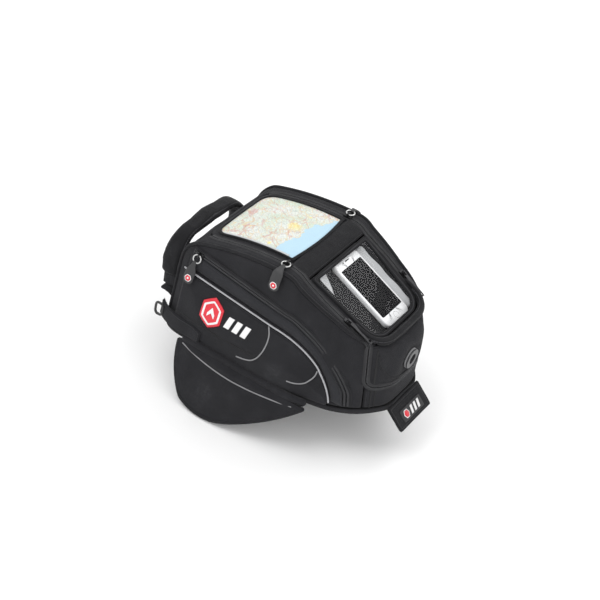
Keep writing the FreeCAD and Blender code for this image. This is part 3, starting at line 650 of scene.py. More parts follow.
# %% Zip tape with its coil, and reflective piping
def zip_finish():
    """Ribbed tape; within 2 mm of its inner edge the coil's turns stand up and carry a painted highlight."""
    material, net = new_material("zip tape and coil")
    where, seam = net.stored("cloth"), net.stored("seam")
    u, v, _ = net.parts(where)
    rib = net.math("SINE", net.math("MULTIPLY", v, 2000 * math.pi / 1.1))
    near = net.range(net.math("MULTIPLY", v, 1000.0), 2.3, 1.7)
    turn = net.math("SINE", net.math("MULTIPLY", u, 2000 * math.pi / 2.2))
    turn = net.math("MULTIPLY", net.range(turn, -0.3, 0.6), near)
    solid = net.add("ShaderNodeTexCoord").outputs["Object"]
    dust = net.range(net.noise(solid, 60.0, 4.0), 0.45, 0.75)
    # Painted highlight: the raised coil turns are coloured 0.05, against 0.010 for the tape
    shade = net.mix(turn, colour(0.010, 0.010, 0.012), colour(0.05, 0.05, 0.055))
    shade = net.mix(net.math("MULTIPLY", dust, 0.25), shade, colour(0.06, 0.06, 0.065))
    height = net.math("ADD", net.math("MULTIPLY", rib, 0.00012), net.math("MULTIPLY", turn, 0.0011))
    bump = net.add("ShaderNodeBump", {"Height": height, "Strength": 0.9, "Distance": 1.0})
    rough = net.range(turn, 0.0, 1.0, 0.75, 0.35)
    shader = net.add("ShaderNodeBsdfPrincipled", {"Base Color": shade, "Roughness": rough,
                                                  "Normal": bump.outputs[0]})
    close(net, shader.outputs[0])
    return material


def plain_finish(name, low, high, rough, metal=0.0, depth=0.0001, coat=0.0, level=0.5):
    """A moulded or metal surface: two near colours in patches, with a fine grain and scuffs."""
    material, net = new_material(name)
    solid = net.add("ShaderNodeTexCoord").outputs["Object"]
    patch = net.noise(solid, 45.0, 5.0, 0.6)
    fine = net.noise(solid, 300.0, 3.0, 0.6)
    scuff = net.range(net.noise(solid, 130.0, 6.0, 0.75), 0.62, 0.72)
    shade = net.mix(patch, colour(*low), colour(*high))
    shade = net.mix(net.math("MULTIPLY", scuff, 0.35), shade,
                    colour(*[min(1, c * 1.6 + 0.01) for c in high]))
    bump = net.add("ShaderNodeBump", {"Height": fine, "Strength": 0.5, "Distance": depth * 10})
    roughness = net.math("ADD", net.range(patch, 0.2, 0.8, rough * 0.85, rough), net.math("MULTIPLY",
            scuff, 0.12))
    shader = net.add("ShaderNodeBsdfPrincipled", {
        "Base Color": shade, "Roughness": roughness, "Metallic": metal, "Normal": bump.outputs[0],
        "Coat Weight": coat, "Specular IOR Level": level})
    close(net, shader.outputs[0])
    return material


def piping_finish():
    """Reflective piping: tiny pale beads in a grey tape."""
    material, net = new_material("reflective piping")
    solid = net.add("ShaderNodeTexCoord").outputs["Object"]
    beads = net.add("ShaderNodeTexVoronoi", {"Vector": solid, "Scale": 1400.0}).outputs["Distance"]
    dirt = net.range(net.noise(solid, 55.0, 5.0, 0.65), 0.4, 0.75)
    shade = net.mix(net.range(beads, 0.1, 0.6), colour(0.50, 0.50, 0.51), colour(0.30, 0.30, 0.32))
    shade = net.mix(net.math("MULTIPLY", dirt, 0.4), shade, colour(0.20, 0.20, 0.21))
    bump = net.add("ShaderNodeBump", {"Height": beads, "Strength": 0.3, "Distance": 0.0004})
    shader = net.add("ShaderNodeBsdfPrincipled", {"Base Color": shade, "Normal": bump.outputs[0],
                                                  "Roughness": net.range(dirt, 0.0, 1.0, 0.38, 0.6),
                                                  "Sheen Weight": 0.3})
    close(net, shader.outputs[0])
    return material


zip_tape = zip_finish()
reflective = piping_finish()
grey_piping = plain_finish("grey piping", (0.16, 0.16, 0.165), (0.26, 0.26, 0.27), 0.55)
# Painted shade: the sewn seams of the black nylon are drawn as near-black cords, darker than the cloth
seam_shade_cord = plain_finish("dark seam", (0.004, 0.004, 0.005), (0.010, 0.010, 0.011), 0.9)
rubber = plain_finish("moulded rubber", (0.018, 0.018, 0.019), (0.035, 0.035, 0.037), 0.55)
port_rubber = plain_finish("port rubber", (0.03, 0.03, 0.032), (0.06, 0.06, 0.063), 0.42)
black_metal = plain_finish("black zip metal", (0.02, 0.02, 0.021), (0.05, 0.05, 0.053), 0.35, 0.8)
nickel = plain_finish("nickel wire", (0.50, 0.50, 0.50), (0.68, 0.68, 0.67), 0.24, 1.0)
magnet_metal = plain_finish("magnet", (0.35, 0.35, 0.36), (0.5, 0.5, 0.5), 0.35, 1.0)
board = plain_finish("board", (0.02, 0.02, 0.022), (0.04, 0.04, 0.042), 0.6)
badge_red = plain_finish("badge red", (0.62, 0.008, 0.022), (0.70, 0.014, 0.034), 0.42, coat=0.3)
white_print = plain_finish("white print", (0.72, 0.72, 0.72), (0.84, 0.84, 0.84), 0.5)
phone_white = plain_finish("phone body", (0.78, 0.79, 0.80), (0.86, 0.87, 0.88), 0.22, coat=0.6,
                           depth=0.00001)
phone_glass = plain_finish("phone glass", (0.003, 0.003, 0.004), (0.006, 0.006, 0.007), 0.3,
                           depth=0.00001, level=0.05)
grey_vinyl = plain_finish("grey vinyl", (0.42, 0.43, 0.44), (0.55, 0.56, 0.57), 0.35, coat=0.2)
label_black = plain_finish("label", (0.010, 0.010, 0.011), (0.022, 0.022, 0.024), 0.6)


# %% Clear window and printed map
def window_finish(name, tint, rough, gloss):
    """A thin clear sheet: light goes straight through, and a share of it, rising at a
    slant, is reflected; slow waves bend the reflections."""
    material, net = new_material(name)
    solid = net.add("ShaderNodeTexCoord").outputs["Object"]
    waves = net.noise(solid, 26.0, 3.0, 0.5)
    fine = net.noise(solid, 120.0, 2.0, 0.5)
    height = net.math("ADD", net.math("MULTIPLY", waves, 0.0016), net.math("MULTIPLY", fine, 0.00012))
    bump = net.add("ShaderNodeBump", {"Height": height, "Strength": 0.8, "Distance": 1.0})
    clear = net.add("ShaderNodeBsdfTransparent", {"Color": colour(*tint)})
    haze = net.range(net.noise(solid, 80.0, 5.0, 0.6), 0.3, 0.8, rough, rough * 2.2)
    shine = net.add("ShaderNodeBsdfPrincipled", {"Base Color": colour(0.95, 0.95, 0.97), "Roughness": haze,
                                                 "Normal": bump.outputs[0], "Metallic": 1.0})
    edge = net.add("ShaderNodeFresnel", {"IOR": 1.3}).outputs[0]
    front = net.math("SUBTRACT", 1.0, net.add("ShaderNodeNewGeometry").outputs["Backfacing"])
    share = net.math("MULTIPLY", net.math("MULTIPLY", edge, gloss), front, clamp=True)
    both = net.add("ShaderNodeMixShader", {0: share, 1: clear.outputs[0], 2: shine.outputs[0]})
    close(net, both.outputs[0])
    return material


def map_finish():
    """A made-up chart: pale land with a fine web of roads, woods, towns and a sea, and painted shade along
    its middle fold.
    """
    material, net = new_material("printed chart")
    solid = net.add("ShaderNodeTexCoord").outputs["Object"]
    x, y, _ = net.parts(solid)
    flat = net.add("ShaderNodeCombineXYZ", {0: x, 1: y}).outputs[0]
    bend = net.noise(flat, 35.0, 4.0, 0.6)
    land = net.mix(net.range(net.noise(flat, 28.0, 4.0), 0.42, 0.62), colour(0.74, 0.76, 0.72),
                   colour(0.62, 0.72, 0.60))
    land = net.mix(net.range(net.noise(flat, 60.0, 5.0, 0.6), 0.55, 0.75), land, colour(0.76, 0.72, 0.68))

    def road(scale, width, warp):
        moved = net.add("ShaderNodeVectorMath", {0: flat, 1: net.add(
            "ShaderNodeCombineXYZ", {0: net.math("MULTIPLY", bend, warp), 1: net.math("MULTIPLY", bend,
                    -warp)}
        ).outputs[0]}, operation="ADD").outputs[0]
        cells = net.add("ShaderNodeTexVoronoi", {"Vector": moved, "Scale": scale},
                        feature="DISTANCE_TO_EDGE")
        return net.range(cells.outputs["Distance"], width, width * 0.4)

    land = net.mix(net.math("MULTIPLY", road(260.0, 0.10, 0.02), 0.5), land, colour(0.40, 0.43, 0.42))
    land = net.mix(net.math("MULTIPLY", road(95.0, 0.055, 0.03), 0.5), land, colour(0.72, 0.50, 0.20))
    land = net.mix(net.math("MULTIPLY", road(40.0, 0.022, 0.04), 0.55), land, colour(0.55, 0.20, 0.18))
    town = net.range(net.noise(flat, 46.0, 2.0), 0.66, 0.72)
    land = net.mix(net.math("MULTIPLY", town, 0.8), land, colour(0.88, 0.74, 0.20))
    reach = net.add("ShaderNodeVectorMath", {0: flat, 1: (-0.055, 0.004, 0.0)},
                    operation="DISTANCE").outputs["Value"]
    park = net.range(net.math("MULTIPLY_ADD", bend, 0.05, reach), 0.038, 0.030)
    land = net.mix(net.math("MULTIPLY", park, 0.5), land, colour(0.86, 0.72, 0.16))
    names = net.range(net.noise(net.add("ShaderNodeMapping", {"Vector": flat, "Scale": (500.0, 130.0,
            1.0)}).outputs[0],
                                1.0, 2.0), 0.66, 0.70)
    land = net.mix(net.math("MULTIPLY", names, 0.45), land, colour(0.25, 0.25, 0.27))
    sea = net.mix(net.noise(flat, 20.0), colour(0.42, 0.62, 0.76), colour(0.50, 0.69, 0.80))
    shore = net.math("ADD", net.math("MULTIPLY_ADD", y, -0.23, x), net.math("MULTIPLY", bend, 0.06))
    shade = net.mix(net.range(shore, COAST - 0.0006, COAST + 0.0006), land, sea)
    # Painted shade: a grey line within 1.2 mm of the chart's middle fold, at y = 0
    fold = net.math("ABSOLUTE", y)
    fold_shade_mask = net.range(fold, 0.0012, 0.0)
    shade = net.mix(net.math("MULTIPLY", fold_shade_mask, 0.15), shade, colour(0.5, 0.5, 0.5))
    bump = net.add("ShaderNodeBump", {"Height": net.noise(flat, 30.0), "Strength": 0.3, "Distance": 0.002})
    shader = net.add("ShaderNodeBsdfPrincipled", {"Base Color": shade, "Roughness": net.range(bend, 0, 1,
            0.6, 0.75),
                                                  "Normal": bump.outputs[0]})
    close(net, shader.outputs[0])
    return material


COAST = -0.003
clear_pvc = window_finish("clear window", (0.98, 0.98, 0.98), 0.06, 0.4)
chart = map_finish()
print("finishes", len(bpy.data.materials))

# %% [markdown]
# ## The walls and the deck
# Each wall is one panel of padded cloth. Its grid runs along the form between its seams,
# a little fuller in the middle, where the padding has room, and thin at the stitching.

# %% Base cushion and its binding
def foot_line(n, grow=0.0):
    """The base's outline: the half outline between front and back, mirrored and evened."""
    s = np.linspace(station(-FRONT, 0.0), station_y(34.0, 0.0), 120)
    half = wall(s, 0.0, grow)[:, :2]
    loop = np.vstack([[(-FRONT - grow, 0)], half, [(REAR + grow, 0)], (half * [1, -1])[::-1]])
    return soften(even(loop, n, True), 2, True)


def cushion_over(name, loop, low, high, body):
    """A flat cushion: ring r of the outline, shrunk by cos^(1/4), at height sin^(1/2) of its half."""
    w = np.linspace(-math.pi / 2, math.pi / 2, 34)
    shrink = np.maximum(np.cos(w), 1e-4) ** 0.22
    shrink[0] = shrink[-1] = 0.02
    rise = np.sign(np.sin(w)) * np.abs(np.sin(w)) ** 0.6
    z = (low + high) / 2 + (high - low) / 2 * rise
    grid = np.concatenate([loop[:, None] * shrink[None, :, None],
                           np.broadcast_to(z[None, :, None], (len(loop), len(w), 1))], -1)
    number = np.arange(grid.shape[0] * grid.shape[1]).reshape(grid.shape[:2])
    faces = [grid_faces(len(loop), len(w), True), number[:, 0][None, ::-1], number[:, -1][None]]
    flat = grid.reshape(-1, 3)
    return mesh_piece(name, flat, faces, body, flat[:, :2], np.stack([np.full(len(flat), 30.0),
            flat[:, 0]], 1))


base = cushion_over("base_cushion", foot_line(220), 0.0, FLOOR_TOP, "bag")
put_back(base, "padded_grey", base_cloth, "base_panel")
line = foot_line(240, 0.2)
rim_out = np.c_[np.gradient(line[:, 1]), -np.gradient(line[:, 0]), np.zeros(len(line))]
rim_out *= np.sign(np.sum(rim_out[:, :2] * line))
edge = sweep("base_edge_binding", np.c_[line, np.full(len(line), 4.0)], rim_out, 1.6, 4.2, "bag", 2.6,
             closed=True)
put_back(edge, "binding", binding, "base_binding")

# %% The lid's zip line seen from above
ZIP_X, LID_HALF, LID_TAIL, LID_FRONT, BEND = 60.0, 78.0, 64.0, FRONT - 21, 24.0


def zip_y(x):
    """Half the lid's width at x: a quarter circle at the front corner, then straight, then narrowing."""
    x = np.asarray(x, float)
    corner = LID_HALF - BEND + np.sqrt(np.maximum(BEND**2 - np.clip(BEND - (x + LID_FRONT), 0, BEND)**2, 0))
    late = LID_HALF - (LID_HALF - LID_TAIL) * (x - ZIP_X) / (REAR + 30 - ZIP_X)
    return np.where(x < ZIP_X, corner, late)


TAIL_Y = 70.2
PADDING = 3.8  # depth of the padded walls and lid
LID_CUT = 44.0
SLOPE_END_T = t_at_x(POUCH_X) + 127.0
print("zip leaves the top at y %.1f" % TAIL_Y)

# %% Side walls
def wall_swell(x, z):
    """Fullness of the wall's cloth: most in the middle of its height and length."""
    return 3.0 * np.sin(np.clip(z / 150, 0,
                                1) * math.pi) * smooth((x + FRONT) / 50) * smooth((150 - x) / 60)


def side_panel(side):
    u = np.linspace(0, 1, 150)[:, None]
    v = np.linspace(0, 1, 60)[None]
    z = FLOOR_TOP + v * 120 + 0 * u
    s_first = station(-FRONT + 0.5, 0.0)
    s = s_first + 0 * z
    top = np.full_like(z, 120.0)
    for _ in range(8):
        s = s_first + u * (station_y(TAIL_Y + 0.9, z) - s_first)
        x_top = wall(s, top)[..., 0]
        top = 0.5 * top + 0.5 * np.interp(t_at_x(x_top), side_s, side_view[:, 1])
        z = FLOOR_TOP + v * (top - FLOOR_TOP)
    x = wall(s, z)[..., 0]
    return wall(s, z, wall_swell(x, z), side)


for side, name in SIDES:
    piece = pad("side_panel_" + name, side_panel(side), PADDING, "bag", rim=3.0, wave=0.9, size=70,
                seed=3 + side)
    put_back(piece, "black_cordura", cordura, "side_wall_" + name)

# %% Front wall and tail
t = np.linspace(FLOOR_TOP, t_at_x(-LID_FRONT - 0.9), 70)[:, None]
w = np.linspace(-1, 1, 90)[None]
reach = edge_y(t) - 0.6
front = over(t, w * reach, 1.6 * (1 - w**4) * np.sin(np.clip(t / 170, 0, 1) * math.pi))
piece = pad("front_panel", front, PADDING, "bag", rim=3.0, wave=0.8, size=60, seed=8)
put_back(piece, "black_cordura", cordura, "front_wall")

z = np.linspace(FLOOR_TOP, LID_CUT - 0.9, 18)[:, None]
w = np.linspace(-1, 1, 120)[None]
y = w * TAIL_Y
tail = back(t_at_rear(z), y + 0 * z)
piece = pad("tail_panel", tail, PADDING, "bag", rim=3.0, wave=0.4, seed=12)
put_back(piece, "black_cordura", cordura, "rear_lip")

# %% Decks beside the lid
DECK_END = 131.0


def deck_panel(side):
    x = np.concatenate([np.linspace(-LID_FRONT - 0.9, -LID_FRONT + 24, 30)[:-1],
                        np.linspace(-LID_FRONT + 24, DECK_END, 130)])
    t = t_at_x(x)[:, None]
    low = (zip_y(np.maximum(x, -LID_FRONT)) + 0.9)[:, None]
    high = np.maximum(edge_y(t) - 0.6, low + 0.4)
    v = np.linspace(0, 1, 18)[None]
    return over(t, side * (low + v * (high - low)), 0.6 * np.sin(v * math.pi))


for side, name in SIDES:
    piece = pad("deck_" + name, deck_panel(side), 3.6, "bag", rim=2.4, wave=0.5, size=40, seed=20 + side)
    put_back(piece, "black_cordura", cordura, "side_decks")

# %% [markdown]
# ## The lid
# The lid is the top between the zips: a padded panel under the map, a plain band, the
# pouch with a strip of cloth on each side, and the back face with its cable port. The
# padding lifts the middle of the lid by a few millimetres, so the map is never flat.

# %% Lid panels
def lid_crown(t, y):
    """Rise of the lid's padding: 5 mm in the middle, none at the zip or the pouch."""
    first, last = t_at_x(-LID_FRONT), t_at_x(POUCH_X - 4)
    along_it = np.sin(np.clip((t - first) / (last - first), 0, 1) * math.pi) ** 0.7
    return 5.0 * along_it * np.clip(1 - (np.abs(y) / 74.0) ** 2, 0, 1)


def lid_patch(x0, x1, nx, ny, fine_front=False):
    x = np.linspace(x0, x1, nx)
    if fine_front:
        x = np.concatenate([x0 + (24 * np.linspace(0, 1, 24) ** 2)[:-1], np.linspace(x0 + 24, x1, nx - 23)])
    t = t_at_x(x)[:, None]
    y = np.linspace(-1, 1, ny)[None] * zip_y(np.maximum(x, -LID_FRONT + 0.02))[:, None]
    return t, y


t, y = lid_patch(-LID_FRONT + 0.05, -10.5, 110, 90, True)
piece = pad("lid_panel_front", over(t, y, lid_crown(t, y)), PADDING, "lid", rim=2.4, wave=0.3, size=60,
            seed=30)
put_back(piece, "black_cordura", cordura, "lid_panel")
t, y = lid_patch(-10.2, POUCH_X + 0.5, 24, 90)
piece = pad("lid_band_pad", over(t, y, lid_crown(t, y) + 1.2 * np.sin(np.linspace(0, 1, 24) * math.pi)[:,
        None]), PADDING,
            "lid", rim=3.5, wave=0.5, size=30, seed=31)
put_back(piece, "black_smooth", smooth_cloth, "lid_band")
for side, name in SIDES:
    x = np.linspace(POUCH_X + 0.8, 136.0, 100)
    t = t_at_x(x)[:, None]
    high = np.minimum(zip_y(x), wall(station(x, profile(t_at_x(x))[0][:, 1]), profile(t_at_x(x))[0][:,
            1])[:, 1] - 0.5)[:, None]
    low = 58.4
    grid = over(t, side * (low + np.linspace(0, 1, 14)[None] * (high - low)))
    piece = pad("pouch_border_" + name, grid, 3.6, "lid", rim=2.2, wave=0.4, seed=33 + side)
    put_back(piece, "black_cordura", cordura)

# %% Back face round its port
PORT_Z = 72.0
t = np.concatenate([np.linspace(SLOPE_END_T + 0.6, side_s[-1] - 96, 30)[:-1],
                    np.linspace(side_s[-1] - 96, t_at_rear(LID_CUT + 0.4), 60)])[:, None]
w = np.linspace(-1, 1, 121)[None]
face = back(t, w * (TAIL_Y - 0.2) + 0 * t)
ring = np.hypot(face[..., 1], face[..., 2] - PORT_Z)
bulge = 3.0 * smooth((70 - np.abs(face[..., 1])) / 50) * smooth((face[...,
        2] - 46) / 20) * smooth((112 - face[..., 2]) / 20)
bulge = bulge * smooth((ring - 14) / 16) - 0.8 * (1 - smooth((ring - 15) / 6))
face = face + facing(face, BAG_MIDDLE) * bulge[..., None]
piece = pad("rear_panel", face, 3.6, "lid", rim=2.6, wave=0.8, size=44, seed=36)
put_back(piece, "black_cordura", cordura, "rear_face")

# %% Sewn lines of the back face and the ring round the port
def on_back(y, z, lift):
    """A point of the back face at y across and z high, raised by lift."""
    y, z = np.asarray(y, float), np.asarray(z, float)
    at = back(t_at_rear(z), y)
    beside, above = back(t_at_rear(z), y + 1.0), back(t_at_rear(z + 1.0), y)
    n = np.cross(beside - at, above - at)
    n = n / np.linalg.norm(n, axis=-1, keepdims=True)
    n = n * np.sign(n[..., :1])
    return at + n * lift


# The seams of the back face are near-black cords of painted shade
for side, name in SIDES:
    for label, across, z, a, b, body in (
            ("rear_seam_", 61.0, np.linspace(47, 108, 60), 0.9, 1.6, "lid"),
            ("tail_seam_1_", 58.0, np.linspace(9, LID_CUT - 4, 40), 0.8, 1.1, "bag"),
            ("tail_seam_2_", 63.0, np.linspace(9, LID_CUT - 4, 40), 0.8, 1.1, "bag")):
        laid(label + name, lambda up: on_back(side * across + 0 * z, z, up), 0.2, 9.0, a, b, body,
             "black_cordura", seam_shade_cord, blunt=1)
curve = spline([(-60, 100), (-56, 82), (-45, 64), (-26, 53.5), (0, 50.5), (26, 53.5), (45, 64), (56, 82),
                (60, 100)], 120)
laid("rear_overlay_line", lambda up: on_back(curve[:, 0], curve[:, 1], up), 0.5, 9.0, 1.5, 2.0, "lid",
     "binding", binding, power=2.4, blunt=2)
w = np.linspace(0, 2 * math.pi, 72, endpoint=False)
laid("port_ring", lambda up: on_back(13.5 * np.cos(w), PORT_Z + 13.5 * np.sin(w), up), 0.9, 9.0, 1.6,
     2.0, "lid",
     "rubber", grey_piping, power=2.6, closed=True)

# %% The main zip, one long path down both sides
x = np.linspace(-LID_FRONT + 8, DECK_END + 1, 150)
top_run = over(t_at_x(x), -zip_y(x) - 0.4)
fall_z = np.linspace(profile(t_at_x(DECK_END))[0][1] - 6, LID_CUT + 8, 24)
fall = wall(station_y(TAIL_Y + 0.4, fall_z), fall_z, 0.0, -1)
low_y = np.linspace(-TAIL_Y + 8, 0, 24)
under = back(np.full(24, t_at_rear(LID_CUT)), low_y)
half_path = np.vstack([top_run, fall, under])
path = np.vstack([half_path, (half_path[:-1] * [1, -1, 1])[::-1]])
path = soften(even(path, 330), 6)


def form_out(points):
    """Outward direction on the bag near given points: the slope of a soft box of its three forms."""
    t = t_at_x(points[:, 0])
    p, n = profile(t)
    up = np.stack([n[:, 0], 0 * t, n[:, 1]], -1)
    s = station(points[:, 0], points[:, 2])
    a, b = wall(s - 3, points[:, 2]), wall(s + 3, points[:, 2])
    d = b - a
    flat = np.stack([-d[:, 1], d[:, 0], 0.12 * np.abs(d[:, 0])], -1)
    flat /= np.linalg.norm(flat, axis=1, keepdims=True)
    flat[:, 1] *= np.where(points[:, 1] < 0, -1, 1)
    gap = np.abs((points[:, 0] - p[:, 0]) * n[:, 0] + (points[:, 2] - p[:, 1]) * n[:, 1])
    share = (1 - smooth(gap / 7.0))[:, None]
    out = up * share + flat * (1 - share)
    return out / np.linalg.norm(out, axis=1, keepdims=True)


out = soften(form_out(path), 8)
out /= np.linalg.norm(out, axis=1, keepdims=True)
run = np.gradient(path, axis=0)
run /= np.linalg.norm(run, axis=1, keepdims=True)
inward = np.cross(out, run)
inward *= np.sign(np.sum(inward[100] * (np.array([0, 0, 150.0]) - path[100])))


def tape(name, sign, body, *stood_for):
    """Half of the zip: the path moved across its own surface by 0.4 to 6 mm, towards or
    away from the lid, with the coil along its inner edge."""
    reach = np.linspace(0.4, 6.0, 9)
    grid = path[:, None] + sign * inward[:, None] * reach[None, :, None] + out[:, None] * 1.3
    piece = pad(name, grid, 1.1, body, rim=0.8, wave=0.15, size=20, seed=40)
    put_back(piece, "zip_tape", zip_tape, *stood_for)


tape("zip_half_lid", 1, "lid", "main_zip_lid")
tape("zip_half_bag", -1, "bag", "main_zip_deck")

# %% Piping along the bag's shoulder
t = np.linspace(FLOOR_TOP + 1, t_at_x(DECK_END - 6), 170)
for side, name in SIDES:
    shoulder = over(t, side * edge_y(t))
    lift = np.stack([profile(t)[1][:, 0] * 0.7, np.full(len(t), side * 0.7), profile(t)[1][:, 1] * 0.7], -1)
    cord = sweep("shoulder_binding_" + name, soften(shoulder, 4) + lift * 0.4, lift, 2.5, 2.3, "bag",
                 2.2, blunt=2)
    put_back(cord, "binding", binding)

# %% [markdown]
# ## The side pockets
# A pocket is a full, padded panel sewn to the wall along a reflective piping. A lighter
# gusset joins it to its zip. The badge and bars lie on its face, so they use the same
# rise as the panel.

# %% Pocket lines
POCKET_FRONT, POCKET_TOP, POCKET_FOOT, POCKET_TAIL = FRONT - 17, 112.0, 10.0, 104.0


def pocket_edge(rise, n=150):
    """The pocket's top edge in side view: a straight run, then an arc down to the tail."""
    p = [(-POCKET_FRONT, POCKET_TOP + rise), (10, POCKET_TOP - 14 + rise),
         (72, POCKET_TOP - 40 + rise * 0.9), (POCKET_TAIL + rise * 0.5, POCKET_FOOT + 8)]
    return even(np.vstack([p[:1], arc(p[1], p[2], p[3], 40)]), n)


def pocket_zip(rise, n=150):
    p = [(-POCKET_FRONT + 4, POCKET_TOP + 29 + rise), (28 + 0.1 * rise, POCKET_TOP + 8 + rise),
         (82 + 0.8 * rise, POCKET_TOP - 24 + 0.8 * rise), (POCKET_TAIL + 18 + rise, POCKET_FOOT + 24)]
    foot = [(POCKET_TAIL + 22 + rise, POCKET_FOOT + 2)]
    return soften(even(np.vstack([p[:1], arc(p[1], p[2], p[3], 40), foot]), n), 3)


def on_wall(xz, lift, side):
    """Side-view points laid on the leaning wall."""
    x, z = xz[..., 0], xz[..., 1]
    return wall(station(x, z), z, lift, side)


top_line = pocket_edge(-1)


def pocket_rise(x, z):
    """How far the pocket's face stands off the wall: 8 mm and up to 5 more where it is full."""
    top = np.interp(x, top_line[:, 0], top_line[:, 1])
    room = np.minimum(np.minimum(z - POCKET_FOOT, (top - z) * 0.85), x + POCKET_FRONT)
    return 8.0 + 5.0 * smooth(room / 46.0)


def pocket_face(xz, side, above=0.0):
    return on_wall(xz, pocket_rise(xz[..., 0], xz[..., 1]) + above, side)


def between(low, high, n):
    """A grid between two side-view lines."""
    v = np.linspace(0, 1, n)[None, :, None]
    return low[:, None] * (1 - v) + high[:, None] * v


# %% Pocket panel, gusset, zip and piping
bottom = np.stack([top_line[:, 0], np.full(len(top_line), POCKET_FOOT)], -1)
bottom[:, 0] = np.minimum(bottom[:, 0], POCKET_TAIL - 2)
panel_xz = between(bottom, top_line - [0, 0.6], 56)
gusset_xz = between(pocket_edge(1.6), pocket_zip(-4), 22)
for side, name in SIDES:
    panel = pad("pocket_panel_" + name, pocket_face(panel_xz, side), 7.4, "bag", rim=5, wave=0.7,
                size=50, seed=50 + side)
    put_back(panel, "black_cordura", cordura, "pocket_panels")
    gusset = pad("pocket_gusset_" + name, on_wall(gusset_xz, 4.0 + 1.5 * np.sin(np.linspace(0, 1,
            22) * math.pi)[None], side),
                 PADDING, "bag", rim=3, wave=0.6, size=40, seed=52 + side)
    put_back(gusset, "padded_grey", gusset_cloth, "pocket_gussets")
    for part, (low, high) in (("lower", (-0.5, -4)), ("upper", (0.5, 4))):
        strip = on_wall(between(pocket_zip(low), pocket_zip(high), 7), 3.4, side)
        half = pad("pocket_zip_%s_%s" % (part, name), strip, 2.6, "bag", rim=0.8, wave=0.1, seed=54)
        put_back(half, "zip_tape", zip_tape, "pocket_zips")
    laid("pocket_piping_" + name, lambda up: on_wall(pocket_edge(0.4, 220), up, side), 8.6, 18.0, 1.2,
         1.2, "bag",
         "reflective", reflective, "pocket_piping", blunt=1.5)
    flange = on_wall(between(pocket_edge(-0.2, 220), pocket_edge(2.4, 220), 5), 7.2, side)
    put_back(pad("pocket_flange_" + name, flange, 1.6, "bag", rim=1, wave=0, seed=5), "binding", binding)
    laid("gusset_binding_" + name, lambda up: on_wall(pocket_zip(4.8, 200), up, side), 1.2, 12.0, 1.5,
         2.0, "bag",
         "binding", binding, blunt=2)

# %% Sewn lines and grey piping on the pocket
curves = {"overlay": [(-2, 97.5), (2.5, 84), (3, 69), (0, 54), (-5, 43), (-13, 34), (-24, 29), (-38, 26)],
          "corner": [(43, 30), (54, 31.5), (64, 36), (72, 44), (78, 55), (79, 62)]}
for side, name in SIDES:
    for label, points in curves.items():
        xz = spline(points, 60)
        laid("pocket_%s_line_%s" % (label, name), lambda up: pocket_face(xz, side, up), 0.4, 9, 1.0, 1.0,
             "bag",
             "reflective", grey_piping, blunt=1)
    # The pocket's seam is a near-black cord of painted shade
    xz = spline([(-148, 42.5), (-110, 42), (-60, 41.5), (-6, 42.5)], 90)
    laid("pocket_seam_" + name, lambda up: pocket_face(xz, side, up), 0.1, 9, 0.8, 1.1, "bag",
         "black_cordura", seam_shade_cord, blunt=1)

# %% Badge: a plain hexagon in a white ring, and three bars
def flat_shape(name, outline_xz, side, low, high, body, slot, material, *stood_for):
    """A thin raised shape on the pocket: its outline shrunk towards the middle in rings, with a soft rim."""
    middle = outline_xz.mean(0)
    k = np.array([0.02, 0.35, 0.7, 0.93, 1.0])
    grid = middle + (outline_xz[:, None] - middle) * k[None, :, None]
    lift = np.array([1, 1, 1, 1, 0.45])[None] * (high - low) + low
    face = pocket_face(grid, side, lift)
    rear = pocket_face(grid, side, low - 0.4)
    put_back(closed_sheet(name, face, rear, body, [0, 2], 50), slot, material, *stood_for)


def hexagon(x, z, r, n=96, squash=1.2, soft=0.12):
    """Six sides with rounded corners: radius = r * cos(30) / cos of the angle from the middle
    of the nearest side."""
    w = np.linspace(0, 2 * math.pi, n, endpoint=False)
    local = (w + math.pi / 6) % (math.pi / 3) - math.pi / 6
    radius = r * (math.cos(math.pi / 6) / np.cos(local)) * (1 - soft) + r * soft * 0.95
    return np.stack([x + radius * np.cos(w), z + radius * np.sin(w) * squash], -1)


BADGE_X, BADGE_Z, BADGE_R = -90.0, 71.0, 20
for side, name in SIDES:
    bx, bz = BADGE_X, BADGE_Z
    flat_shape("badge_" + name, hexagon(bx, bz, BADGE_R), side, 0.2, 1.9, "bag", "badge_rubber",
               badge_red, "badges")
    w = np.linspace(0, 2 * math.pi, 97)[:-1]
    laid("badge_ring_" + name, lambda up: pocket_face(hexagon(bx, bz, 14.6), side, up), 1.9, 9, 0.5, 1.6,
         "bag",
         "white_print", white_print, power=2.5, closed=True)
    mark = np.array([(-6, -6), (0, 2), (6, -6), (6, -1), (0, 8), (-6, -1)], float)
    mark = even(mark * [1, 1.1], 60, True) + [bx, bz]
    flat_shape("badge_mark_" + name, mark, side, 1.8, 2.4, "bag", "white_print", white_print)
    for k in range(3):
        left = bx + 23 + 14 * k
        bar = np.array([(left, bz - 10), (left + 5, bz + 8), (left + 14, bz + 8), (left + 9, bz - 10)],
                       float)
        flat_shape("badge_bar_%d_%s" % (k + 1, name), even(bar, 60, True), side, 0.2, 1.0, "bag",
                   "white_print",
                   white_print, "badge_bars")

